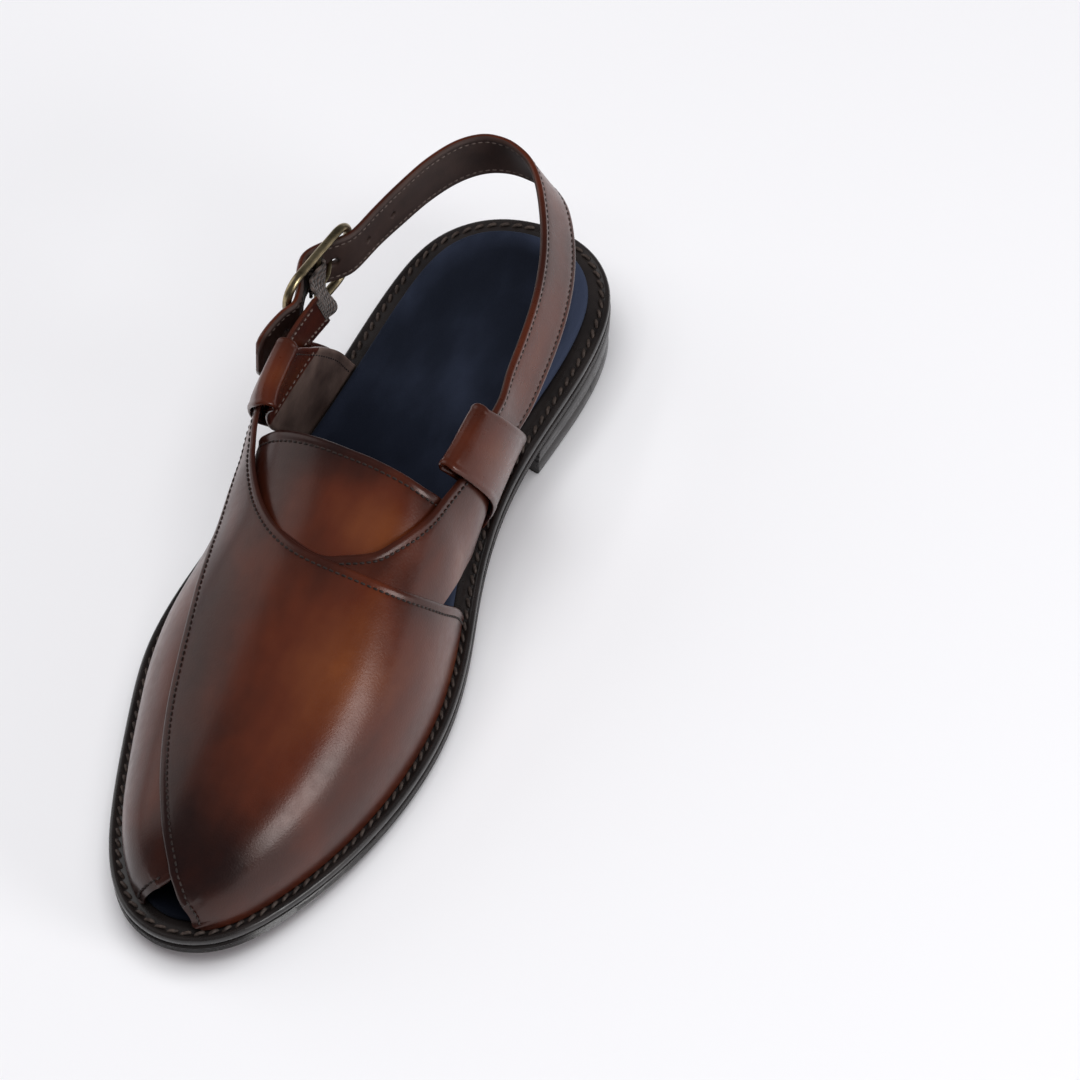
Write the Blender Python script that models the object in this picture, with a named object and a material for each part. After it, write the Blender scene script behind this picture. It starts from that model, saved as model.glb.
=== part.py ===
"""Right-foot peshawari chappal: two leather panels crossed over the foot, a back strap and a flat heel.

Sizes are in millimetres. Every place is worked out as across (towards the big toe side is positive),
back (distance from the heel's rear edge towards the toe) and up (from the floor), and place() turns
those into the model's metres, with +X to the medial side, the toe towards -Y and +Z up.
"""
import math

import bpy
import bmesh
import numpy as np
from mathutils import Vector
from mathutils.geometry import delaunay_2d_cdt

MM = 0.001
MIDDLE_ACROSS = 0.5
MIDDLE_BACK = 151.0
JOIN = 0.3

# Sole, from the floor up
OUTSOLE_THICK = 4.8
WELT_THICK = 3.6
INSOLE_THICK = 2.6
INSOLE_INSET = 7.3
HEEL_BREAST = 82.0
BREAST_HOLLOW = 5.0
LIFT_THICK = 6.0
LIFT_SPLIT = 45.0
HEEL_TAPER = 1.6
GRIP_PROUD = 0.8
GRIP_DEPTH = 2.4
GRIP_HALF_WIDTH = 33.5

# Leather
FEATHER_INSET = 4.4
UPPER_CLEAR = 0.4
OUTER_LIFT = 0.8
INNER_LIFT = -0.6
OUTER_UNDER = -1.4
LINING_LIFT = -2.2
TONGUE_LIFT = -2.8
TONGUE_THICK = 1.6
TOE_ROUND = 35.0
PLY = 1.5
STRAP_WIDTH = 21.0
STRAP_THICK = 2.2

# Elastic and buckle
TAB_END = ((86.0, 0.160), (94.5, 0.272))
WEB_TUCK = 6.0
WIRE = 1.5
BAR = 1.2
PRONG = 0.8
BUCKLE_LONG = 35.0
BUCKLE_HIGH = 26.5
BUCKLE_CORNER = 7.0
WEB_WIDTH = 19.0
WEB_THICK = 1.2

# Sole outline, medial side first: across, back
OUTLINE = (
    (0.0, 0.0), (19.5, 5.0), (31.0, 16.5), (37.2, 38.0), (36.6, 68.0), (34.6, 100.0),
    (38.6, 134.0), (47.2, 165.0), (52.4, 196.0), (51.0, 226.0), (45.0, 254.0), (34.8, 279.5),
    (21.5, 297.0), (7.5, 302.0), (-7.0, 298.0), (-19.8, 285.5), (-32.3, 261.0), (-43.2, 230.0),
    (-51.3, 198.0), (-51.0, 165.0), (-46.6, 135.0), (-42.2, 105.0), (-39.6, 75.0), (-37.4, 40.0),
    (-31.0, 16.5), (-19.5, 5.0),
)

# Underside of the outsole: back, up
PROFILE = (
    (0, 15.6), (45, 14.4), (78, 12.6), (105, 10.0), (140, 5.2), (172, 1.4), (190, 0.8),
    (222, 0.8), (240, 1.4), (262, 2.7), (284, 4.3), (302, 6.2),
)

# Forefoot grip: back, half width, middle across
GRIP = (
    (160.0, 0.0, -1.0), (163.0, 13.5, -1.0), (170.0, 22.5, -0.6), (184.0, 30.5, 0.0),
    (202.0, 33.5, 0.6), (220.0, 31.5, 1.4), (236.0, 25.5, 2.2), (247.0, 17.0, 3.0),
    (254.0, 8.5, 3.5), (256.0, 0.0, 3.6),
)

# Last: back, ridge height above the welt, ridge across, squareness of the lateral and medial sides,
# their bulge at half height, and how far they lean out at the top
LAST = (
    (78, 76.0, 1.0, 5.0, 3.2, 1.0, 8.0, -1.0, 2.0),
    (105, 75.0, 1.5, 5.0, 3.2, 1.0, 8.5, -1.5, 2.0),
    (130, 70.5, 2.5, 4.2, 3.1, 0.6, 6.5, -2.5, 2.5),
    (150, 65.5, 4.0, 2.7, 3.0, -1.2, 2.0, -3.2, 2.5),
    (175, 61.0, 6.5, 2.1, 2.5, -2.2, 0.6, -3.0, 0.5),
    (200, 54.5, 8.5, 2.05, 2.35, -1.0, 0.5, -1.2, 0.0),
    (225, 46.0, 9.5, 2.12, 2.3, 0.2, 0.5, 0.0, 0.0),
    (250, 37.5, 9.5, 2.22, 2.3, 0.4, 0.5, 0.0, 0.0),
    (272, 31.0, 8.5, 2.35, 2.35, 0.5, 0.5, 0.0, 0.0),
    (302, 26.0, 7.5, 2.5, 2.5, 0.5, 0.5, 0.0, 0.0),
)

# Edges of the leather panels: back, girth share. A girth share runs from 0 at the lateral feather,
# over the instep, to 1 at the medial feather.
OUTER_SEAM = (
    (296.0, 0.900), (295.1, 0.630), (291.5, 0.502), (287.2, 0.455), (280.9, 0.411), (271.8, 0.371),
    (262.3, 0.338), (252.2, 0.313), (242.0, 0.298), (231.9, 0.291), (213.4, 0.285), (193.7, 0.266),
    (181.0, 0.243), (169.0, 0.220), (158.5, 0.208), (149.5, 0.202), (141.0, 0.200), (131.0, 0.198),
    (119.0, 0.192), (107.0, 0.184), (86.0, 0.160),
)
OUTER_TOP = (
    (94.5, 0.272), (112.5, 0.284), (123.5, 0.289), (132.8, 0.287), (140.8, 0.281), (147.6, 0.285),
    (155.6, 0.307), (163.3, 0.336), (170.8, 0.372), (177.4, 0.414), (182.0, 0.457), (184.5, 0.497),
    (185.6, 0.537), (185.8, 0.586), (184.4, 0.645), (181.2, 0.703), (176.5, 0.758), (169.7, 0.826),
    (161.0, 0.905), (152.6, 1.000),
)
INNER_TOE = ((294.4, 0.000), (294.8, 0.200), (294.1, 0.345), (292.8, 0.442), (289.0, 0.550))
INNER_HIDDEN = (
    (289.0, 0.550), (270.0, 0.560), (248.0, 0.580), (226.0, 0.640), (206.0, 0.710), (188.0, 0.780),
    (176.0, 0.818), (166.9, 0.840), (158.3, 0.865), (144.8, 0.915), (135.0, 0.952), (128.5, 0.950),
    (124.5, 0.918), (120.5, 0.865),
)
INNER_TOP = (
    (124.0, 0.751), (132.0, 0.746), (139.6, 0.735), (145.8, 0.722), (153.8, 0.703), (162.5, 0.678),
    (170.0, 0.652), (176.6, 0.625), (181.8, 0.579), (184.6, 0.526), (180.1, 0.441), (169.6, 0.310),
    (161.5, 0.205), (155.5, 0.120), (151.5, 0.050), (151.5, 0.000),
)
TONGUE_TOP = (
    (144.2, 0.262), (145.6, 0.294), (147.1, 0.351), (148.1, 0.403), (148.8, 0.469), (149.4, 0.531),
    (149.8, 0.600), (148.6, 0.667), (146.2, 0.717), (144.5, 0.752),
)
TONGUE_HIDDEN = (
    (150.0, 0.765), (176.0, 0.745), (194.0, 0.690), (200.0, 0.520), (194.0, 0.345), (170.0, 0.262),
    (150.0, 0.246),
)
GIRTH_SCALE = 190.0
PANEL_GRID = 8.5

# Side loops: height up the wall, back of the front and rear edges, lift of the outer and inner faces
LOOP_MEDIAL = (
    (0.0, 121.5, 88.5, 0.8, -2.2), (8.0, 122.8, 91.5, 1.2, -3.4), (17.0, 125.0, 95.0, 1.8, -4.5),
    (36.0, 132.0, 105.3, 2.4, -4.9), (46.0, 136.0, 110.5, 2.4, -5.0), (56.0, 139.5, 115.0, 2.0, -5.0),
)
LOOP_LATERAL = (
    (0.0, 115.0, 77.5, 0.8, -2.2), (8.0, 117.5, 81.5, 1.2, -2.8), (17.0, 121.0, 86.0, 1.8, -3.6),
    (32.0, 130.0, 96.0, 2.8, -4.4), (45.0, 135.0, 106.5, 3.1, -4.5), (57.0, 139.5, 115.5, 3.0, -4.6),
)
TUNNEL_MEDIAL = 8.0
TUNNEL_LATERAL = 30.0

# Back strap, from inside the medial loop round the heel to the tip outside the lateral loop:
# across, back, up, and how far across and back its top edge leans for each millimetre up
BACK_STRAP = (
    (36.6, 117.5, 56.6, -0.09, 0.10), (36.6, 111.5, 57.0, -0.09, 0.10), (36.6, 104.0, 57.6, -0.11, 0.12),
    (36.0, 94.3, 58.7, -0.25, 0.12),
    (34.7, 80.0, 60.0, -0.30, 0.11), (32.7, 66.0, 61.0, -0.34, 0.13), (29.7, 53.0, 61.9, -0.39, 0.17),
    (25.5, 40.9, 62.6, -0.42, 0.24), (19.7, 28.9, 63.4, -0.42, 0.31), (13.2, 18.9, 64.1, -0.36, 0.34),
    (6.6, 12.9, 64.4, -0.21, 0.33), (-0.4, 10.3, 64.8, -0.03, 0.27), (-7.2, 9.8, 65.3, 0.07, 0.18),
    (-14.3, 12.4, 65.9, 0.08, 0.08), (-20.8, 19.2, 66.3, 0.07, 0.03), (-26.2, 30.0, 66.4, 0.07, 0.02),
    (-30.3, 43.0, 66.3, 0.08, 0.03), (-33.2, 54.0, 66.2, 0.10, 0.05),
)

# Buckle: middle of its centre bar, heading of its long side and lean of its bars
BUCKLE_AT = (-41.4, 82.0, 66.0)
BUCKLE_HEADING = (0.146, -0.989)
BUCKLE_LEAN = (0.10, 0.05)

# Strap between the buckle's bars and its free tip: distance past the centre bar towards the toe,
# outward shift from the buckle's plane, drop, width share
STRAP_WEAVE = (
    (-17.4, -3.1, 0.0, 1.0), (-12.0, -1.2, 0.0, 1.0), (-6.0, 2.7, 0.0, 1.0), (0.0, 4.7, 0.0, 1.0),
    (6.0, 2.7, 0.2, 1.0), (12.0, -1.2, 0.5, 1.0), (17.4, -3.2, 0.9, 1.0), (22.0, -1.9, 1.5, 1.0),
    (27.0, -1.2, 2.2, 1.0), (31.0, -1.1, 2.8, 1.0), (33.4, -1.15, 3.15, 0.96), (35.3, -1.2, 3.45, 0.8),
    (36.4, -1.25, 3.6, 0.45),
)
STRAP_HOLES = (-38.0, -25.0, -9.8, 25.0)
HOLE_RADIUS = 1.3
PRONG_HOLE_RADIUS = 2.0

# Name, base colour, roughness, metallic
LEATHER = ("burnished_leather", (0.115, 0.035, 0.018), 0.3, 0.0)
STRAP_LEATHER = ("strap_leather", (0.13, 0.042, 0.022), 0.34, 0.0)
SOLE_BLACK = ("sole_edge", (0.016, 0.013, 0.012), 0.38, 0.0)
OXBLOOD = ("sole_oxblood", (0.1, 0.014, 0.018), 0.42, 0.0)
RUBBER = ("grip_rubber", (0.012, 0.012, 0.013), 0.6, 0.0)
SUEDE = ("navy_suede", (0.008, 0.011, 0.025), 0.9, 0.0)
BRASS = ("antique_brass", (0.3, 0.22, 0.11), 0.38, 1.0)
ELASTIC = ("woven_elastic", (0.07, 0.052, 0.043), 0.85, 0.0)


def clear_scene():
    """Take every object out of the open scene."""
    for thing in list(bpy.data.objects):
        bpy.data.objects.remove(thing, do_unlink=True)


def new_collection(name):
    """A fresh collection under the scene's own."""
    group = bpy.data.collections.new(name)
    bpy.context.scene.collection.children.link(group)
    return group


def material(finish):
    """The Principled material of a finish, made once."""
    name, colour, roughness, metallic = finish
    found = bpy.data.materials.get(name)
    if found:
        return found
    made = bpy.data.materials.new(name)
    made.use_nodes = True
    shader = made.node_tree.nodes["Principled BSDF"]
    shader.inputs["Base Color"].default_value = (*colour, 1.0)
    shader.inputs["Roughness"].default_value = roughness
    shader.inputs["Metallic"].default_value = metallic
    return made


def place(point):
    """Metres in the model's frame from across, back and up in millimetres."""
    across, back, up = point
    return ((across - MIDDLE_ACROSS) * MM, (MIDDLE_BACK - back) * MM, up * MM)


def column(rows, index):
    """A smooth function through one column of a table, against its first, with no overshoot."""
    at = np.array([row[0] for row in rows], float)
    value = np.array([row[index] for row in rows], float)
    step = np.diff(at)
    rise = np.diff(value) / step
    slope = np.zeros(len(at))
    slope[0], slope[-1] = rise[0], rise[-1]
    for i in range(1, len(at) - 1):
        if rise[i - 1] * rise[i] > 0:
            near, far = 2 * step[i] + step[i - 1], step[i] + 2 * step[i - 1]
            slope[i] = (near + far) / (near / rise[i - 1] + far / rise[i])

    def curve(where):
        where = np.clip(where, at[0], at[-1])
        i = np.clip(np.searchsorted(at, where, side="right") - 1, 0, len(at) - 2)
        t = (where - at[i]) / step[i]
        start = (1 + 2 * t) * (1 - t) ** 2 * value[i] + t * (1 - t) ** 2 * step[i] * slope[i]
        return start + t * t * (3 - 2 * t) * value[i + 1] + t * t * (t - 1) * step[i] * slope[i + 1]

    return curve


def closed_spline(points, count):
    """A cubic spline round closed points, read at even steps of chord length."""
    knots = np.array(points, float)
    size = len(knots)
    chord = np.linalg.norm(np.roll(knots, -1, 0) - knots, axis=1)
    system = np.zeros((size, size))
    right = np.zeros((size, 2))
    for i in range(size):
        before, after, following = chord[i - 1], chord[i], (i + 1) % size
        system[i, i - 1] += before
        system[i, i] += 2 * (before + after)
        system[i, following] += after
        right[i] = 6 * ((knots[following] - knots[i]) / after - (knots[i] - knots[i - 1]) / before)
    bend = np.linalg.solve(system, right)
    along = np.r_[0, np.cumsum(chord)]
    read = []
    for t in np.linspace(0, along[-1], count, endpoint=False):
        i = min(np.searchsorted(along, t, side="right") - 1, size - 1)
        following, length = (i + 1) % size, chord[i]
        u, w = t - along[i], along[i + 1] - t
        curved = (bend[i] * w ** 3 + bend[following] * u ** 3) / (6 * length)
        straight = (knots[i] / length - bend[i] * length / 6) * w
        read.append(curved + straight + (knots[following] / length - bend[following] * length / 6) * u)
    return np.array(read)


def smooth_route(points, between):
    """A Catmull-Rom route through the rows of an array, with a few places between each pair."""
    rows = np.array(points, float)
    padded = np.vstack([2 * rows[0] - rows[1], rows, 2 * rows[-1] - rows[-2]])
    route = []
    for i in range(1, len(padded) - 2):
        before, start, end, after = padded[i - 1:i + 3]
        for t in np.linspace(0, 1, between, endpoint=False):
            route.append(0.5 * (2 * start + (end - before) * t
                         + (2 * before - 5 * start + 4 * end - after) * t ** 2
                         + (3 * start - before - 3 * end + after) * t ** 3))
    route.append(rows[-1])
    return np.array(route)


SOLE_RING = closed_spline(OUTLINE, 720)
INSETS = {}


def sides(inset):
    """Rear end, front end, and the medial and lateral edges of the outline moved in by the inset."""
    if inset not in INSETS:
        along = np.roll(SOLE_RING, -1, 0) - np.roll(SOLE_RING, 1, 0)
        along /= np.linalg.norm(along, axis=1)[:, None]
        ring = SOLE_RING + np.c_[-along[:, 1], along[:, 0]] * inset
        ring = np.roll(ring, -ring[:, 1].argmin(), 0)
        tip = ring[:, 1].argmax()
        lateral = np.vstack([ring[tip:], ring[:1]])[::-1]
        INSETS[inset] = (ring[0, 1], ring[tip, 1], ring[:tip + 1], lateral)
    return INSETS[inset]


def edge(side, back, inset):
    """Across of one edge of the inset outline; side is -1 lateral, 1 medial."""
    path = sides(inset)[2 if side > 0 else 3]
    return np.interp(back, path[:, 1], path[:, 0])


underside = column(PROFILE, 1)


def outsole_top(back):
    return underside(back) + OUTSOLE_THICK


def seat(back):
    """Top of the welt, where the upper and the insole sit."""
    return outsole_top(back) + WELT_THICK


RIDGE, RIDGE_ACROSS, SQUARE_LAT, SQUARE_MED, BULGE_LAT, BULGE_MED, LEAN_LAT, LEAN_MED = (
    column(LAST, i) for i in range(1, 9))
ANGLES = np.radians(np.r_[0, 0.3, 1, 2, 3.5, np.arange(5, 176, 3), 176.5, 178, 179, 179.7, 180])
FEATHER_TIP = sides(FEATHER_INSET)[1]
TIP_MARGIN = 0.05


def section(back):
    """A cross-section of the last, lateral feather to medial feather, and its length so far."""
    back = min(back, FEATHER_TIP - TIP_MARGIN / 2)
    lateral = ANGLES <= math.pi / 2
    low = np.abs(np.cos(ANGLES))
    side = np.where(lateral, -1, 1)
    power = 2 / np.where(lateral, SQUARE_LAT(back), SQUARE_MED(back))
    height = np.clip(np.sin(ANGLES), 0, 1) ** power
    lateral_edge = edge(-1, back, FEATHER_INSET)
    medial_edge = edge(1, back, FEATHER_INSET)
    into_toe = max(0.0, (back - (FEATHER_TIP - TOE_ROUND)) / TOE_ROUND)
    fall = math.sqrt(max(0.0, 1 - into_toe ** 2.2))
    ridge = min(max(RIDGE_ACROSS(back), lateral_edge), medial_edge)
    lean = np.where(lateral, LEAN_LAT(back), LEAN_MED(back))
    bulge = np.where(lateral, BULGE_LAT(back), BULGE_MED(back)) * fall
    foot = np.where(lateral, lateral_edge, medial_edge) + side * lean * height
    across = ridge + (foot - ridge) * low ** power + side * bulge * np.sin(math.pi * height)
    up = seat(back) + RIDGE(back) * fall * height
    points = np.c_[across, np.full(len(across), back), up]
    length = np.r_[0, np.cumsum(np.linalg.norm(np.diff(points, axis=0), axis=1))]
    return points, length


def bare_last(back, share):
    """The last's surface at a share of its girth."""
    points, length = section(back)
    return np.array([np.interp(share * length[-1], length, points[:, i]) for i in range(3)])


def on_last(back, share, lift):
    """A point lifted square off the last, never lower than the welt."""
    back = min(back, FEATHER_TIP - TIP_MARGIN)
    step, turn = 0.4, 0.01
    ahead = bare_last(min(back + step, FEATHER_TIP - TIP_MARGIN / 2), share) - bare_last(back - step, share)
    around = bare_last(back, min(share + turn, 1)) - bare_last(back, max(share - turn, 0))
    square = np.cross(around, ahead)
    point = bare_last(back, share) + square / np.linalg.norm(square) * lift
    point[2] = max(point[2], seat(point[1]) + UPPER_CLEAR)
    return point


def add_mesh(name, points, faces, finish, group):
    """A closed mesh object from places and faces, with doubled points merged and faces outward."""
    work = bmesh.new()
    corners = [work.verts.new(place(point)) for point in points]
    for face in faces:
        if len(set(face)) > 2:
            work.faces.new([corners[i] for i in face])
    bmesh.ops.remove_doubles(work, verts=work.verts[:], dist=0.00001)
    bmesh.ops.dissolve_degenerate(work, edges=work.edges[:], dist=0.000001)
    bmesh.ops.triangulate(work, faces=work.faces[:])
    bmesh.ops.recalc_face_normals(work, faces=work.faces[:])
    mesh = bpy.data.meshes.new(name)
    work.to_mesh(mesh)
    work.free()
    mesh.materials.append(material(finish))
    mesh.shade_smooth()
    mesh.set_sharp_from_angle(angle=math.radians(35))
    made = bpy.data.objects.new(name, mesh)
    group.objects.link(made)
    return made


def layered(name, cells, levels, finish, group):
    """A solid between the first and last of several levels of one sheet of cells.

    Each level gives a place to every corner of the sheet. Levels between the ends only shape the rim.
    """
    turns = {}
    for cell in cells:
        for i, start in enumerate(cell):
            turns[(start, cell[(i + 1) % len(cell)])] = True
    rim = [pair for pair in turns if (pair[1], pair[0]) not in turns]
    rim_corners = sorted({corner for pair in rim for corner in pair})
    count = len(levels[0])
    points = [*levels[0], *levels[-1]]
    rings = [{corner: corner for corner in rim_corners}]
    for level in levels[1:-1]:
        rings.append({corner: len(points) + i for i, corner in enumerate(rim_corners)})
        points.extend(level[corner] for corner in rim_corners)
    rings.append({corner: corner + count for corner in rim_corners})
    faces = [tuple(reversed(cell)) for cell in cells]
    faces += [tuple(corner + count for corner in cell) for cell in cells]
    for lower, upper in zip(rings, rings[1:]):
        faces += [(lower[a], lower[b], upper[b], upper[a]) for a, b in rim]
    used = sorted({corner for face in faces for corner in face})
    renumber = {corner: i for i, corner in enumerate(used)}
    kept = [[renumber[corner] for corner in face] for face in faces]
    return add_mesh(name, [points[i] for i in used], kept, finish, group)


def grid_cells(rows, columns):
    """Four-cornered cells of a grid whose corners are numbered row by row."""
    wide = columns + 1
    return [(i * wide + j, i * wide + j + 1, (i + 1) * wide + j + 1, (i + 1) * wide + j)
            for i in range(rows) for j in range(columns)]


def plate(name, levels, finish, group, start=None, stop=None, hollow=0.0, stations=44, columns=1):
    """A layer of the sole. Levels are inset and height function; hollow curves the stop line in."""
    surfaces = []
    for inset, height in levels:
        rear, front = sides(inset)[:2]
        first = rear if start is None else start
        points = []
        for i in range(stations + 1):
            turn = i / stations
            if start is None and stop is None:
                turn = (1 - math.cos(math.pi * turn)) / 2
            elif stop is not None and start is None:
                turn = 1 - math.cos(math.pi / 2 * turn)
            for j in range(columns + 1):
                share = j / columns
                last = front if stop is None else stop - hollow * (1 - (2 * share - 1) ** 2)
                back = first + (last - first) * turn
                lateral, medial = edge(-1, back, inset), edge(1, back, inset)
                points.append((lateral + (medial - lateral) * share, back, height(back)))
        surfaces.append(points)
    return layered(name, grid_cells(stations, columns), surfaces, finish, group)


def above(base, rise):
    """A height function a fixed rise above another."""
    return lambda back: base(back) + rise


def build_sole(group, cutters):
    """Outsole with its forefoot grip, welt, insole and heel."""
    outsole = plate("outsole", (
        (1.6, underside), (0.5, above(underside, 0.9)), (0.1, above(underside, 2.6)),
        (0.3, above(underside, OUTSOLE_THICK - 0.5)), (0.9, outsole_top)), OXBLOOD, group, columns=4)
    plate("welt", (
        (0.9, above(outsole_top, JOIN)), (0.2, above(outsole_top, 0.9)), (0.0, above(outsole_top, 2.0)),
        (0.4, above(seat, -0.5)), (1.3, seat)), SOLE_BLACK, group, columns=4)
    plate("insole", (
        (INSOLE_INSET + 0.3, above(seat, JOIN)), (INSOLE_INSET, above(seat, 0.9)),
        (INSOLE_INSET, above(seat, INSOLE_THICK - 0.8)), (INSOLE_INSET + 1.0, above(seat, INSOLE_THICK))),
        SUEDE, group, columns=4)
    heel_side = HEEL_TAPER / 2
    plate("heel_block", (
        (HEEL_TAPER, lambda back: LIFT_THICK + JOIN), (heel_side, lambda back: LIFT_THICK + 3.0),
        (0.6, above(underside, -0.8)), (0.9, above(underside, -JOIN))),
        SOLE_BLACK, group, stop=HEEL_BREAST, hollow=BREAST_HOLLOW, stations=18, columns=8)
    lift = ((HEEL_TAPER + 1.0, lambda back: 0.0), (HEEL_TAPER, lambda back: 0.9),
            (HEEL_TAPER, lambda back: LIFT_THICK))
    plate("heel_lift_rear", lift, RUBBER, group, stop=LIFT_SPLIT, stations=14, columns=2)
    plate("heel_lift_front", lift, OXBLOOD, group, start=LIFT_SPLIT + JOIN, stop=HEEL_BREAST,
          hollow=BREAST_HOLLOW, stations=8, columns=8)
    build_grip(outsole, group, cutters)


def grip_plate(name, levels, finish, group):
    """The egg shape of the forefoot grip. Levels are growth of the shape and height function."""
    half, middle = column(GRIP, 1), column(GRIP, 2)
    rear, front = GRIP[0][0], GRIP[-1][0]
    centre, reach = (rear + front) / 2, (front - rear) / 2
    stations, columns = 22, 4
    surfaces = []
    for growth, height in levels:
        points = []
        for i in range(stations + 1):
            turn = math.cos(math.pi * i / stations)
            back = centre - reach * turn
            grown = centre - (reach + growth) * turn
            wide = half(back) * (1 + growth / GRIP_HALF_WIDTH)
            for j in range(columns + 1):
                points.append((middle(back) + wide * (2 * j / columns - 1), grown, height(grown)))
        surfaces.append(points)
    return layered(name, grid_cells(stations, columns), surfaces, finish, group)


def build_grip(outsole, group, cutters):
    """Rubber grip let into the outsole's forefoot and standing a little proud, flat on the floor."""
    def bottom(back):
        return max(0.0, underside(back) - GRIP_PROUD)

    top = above(underside, GRIP_DEPTH)
    grip_plate("forefoot_grip", ((-0.8, bottom), (0.0, above(bottom, 0.7)), (0.0, top)), RUBBER, group)
    pocket = grip_plate("grip_pocket", ((JOIN, above(underside, -2.0)), (JOIN, above(top, JOIN))),
                        OXBLOOD, cutters)
    cut(outsole, pocket)


def cut(target, cutter, operation="DIFFERENCE"):
    """A live exact Boolean of one object with another, which is hidden."""
    cutter.hide_render = True
    cutter.display_type = "WIRE"
    boolean = target.modifiers.new(cutter.name, "BOOLEAN")
    boolean.operation = operation
    boolean.solver = "EXACT"
    boolean.object = cutter


def stretched(back):
    """Back measured along the toe's rounding instead of along the floor."""
    start = FEATHER_TIP - TOE_ROUND
    if back <= start:
        return back
    return start + TOE_ROUND * math.asin(min(1.0, (back - start) / TOE_ROUND))


def unstretched(along):
    start = FEATHER_TIP - TOE_ROUND
    if along <= start:
        return along
    return start + TOE_ROUND * math.sin(min(math.pi / 2, (along - start) / TOE_ROUND))


def pattern_line(rows, step):
    """One edge of a leather pattern laid flat, as places at even steps."""
    flat = [(stretched(back), share * GIRTH_SCALE) for back, share in rows]
    route = smooth_route(flat, 8) if len(rows) > 2 else np.array(flat)
    length = np.r_[0, np.cumsum(np.linalg.norm(np.diff(route, axis=0), axis=1))]
    count = max(1, round(length[-1] / step))
    marks = np.linspace(0, length[-1], count + 1)
    return [(np.interp(mark, length, route[:, 0]), np.interp(mark, length, route[:, 1])) for mark in marks]


def clearance(outline, point):
    """How far a place is inside an outline; negative outside."""
    ring = np.array(outline)
    ahead = np.roll(ring, -1, 0)
    along = ahead - ring
    part = np.clip(((point - ring) * along).sum(1) / (along ** 2).sum(1), 0, 1)
    near = np.linalg.norm(ring + along * part[:, None] - point, axis=1).min()
    spans = (ring[:, 1] > point[1]) != (ahead[:, 1] > point[1])
    crossing = ring[:, 0] + along[:, 0] * (point[1] - ring[:, 1]) / np.where(spans, along[:, 1], 1)
    return near if (spans & (crossing > point[0])).sum() % 2 else -near


def pattern(edges, step):
    """A leather pattern laid flat: its places and the triangles between them."""
    outline = []
    for rows in edges:
        outline += pattern_line(rows, step)[:-1]
    low, high = np.min(outline, axis=0), np.max(outline, axis=0)
    places = list(outline)
    for i, along in enumerate(np.arange(low[0], high[0], step * 0.87)):
        for girth in np.arange(low[1] + (step / 2 if i % 2 else 0), high[1], step):
            if clearance(outline, np.array((along, girth))) > step * 0.45:
                places.append((along, girth))
    ring = [(i, (i + 1) % len(outline)) for i in range(len(outline))]
    corners, _, triangles, *_ = delaunay_2d_cdt([Vector(place) for place in places], ring, [], 1, 0.0001)
    return [tuple(corner) for corner in corners], [tuple(triangle) for triangle in triangles]


def panel(name, edges, under, over, finish, group):
    """A leather panel on the last, with a wall between two lifts, cut to a pattern."""
    corners, cells = pattern(edges, PANEL_GRID)
    surfaces = [[on_last(unstretched(along), girth / GIRTH_SCALE, lift) for along, girth in corners]
                for lift in (under, over)]
    return layered(name, cells, surfaces, finish, group)


def build_upper(group, cutters):
    """The two crossed panels, joined into one hollow wall, and the tongue under them."""
    outer_edges = (OUTER_SEAM, (OUTER_SEAM[-1], OUTER_TOP[0]), OUTER_TOP,
                   (OUTER_TOP[-1], (294.4, 1.0)), ((294.4, 1.0), OUTER_SEAM[0]))
    inner_edges = (INNER_TOE, INNER_HIDDEN, (INNER_HIDDEN[-1], INNER_TOP[0]), INNER_TOP,
                   (INNER_TOP[-1], INNER_TOE[0]))
    tongue_edges = (TONGUE_TOP, (TONGUE_TOP[-1], TONGUE_HIDDEN[0]), TONGUE_HIDDEN,
                    (TONGUE_HIDDEN[-1], TONGUE_TOP[0]))
    upper = panel("upper", outer_edges, OUTER_UNDER, OUTER_LIFT, LEATHER, group)
    inner = panel("inner_panel", inner_edges, LINING_LIFT, INNER_LIFT, LEATHER, cutters)
    cut(upper, inner, "UNION")
    panel("instep_tongue", tongue_edges, TONGUE_LIFT - TONGUE_THICK, TONGUE_LIFT, LEATHER, group)


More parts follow.
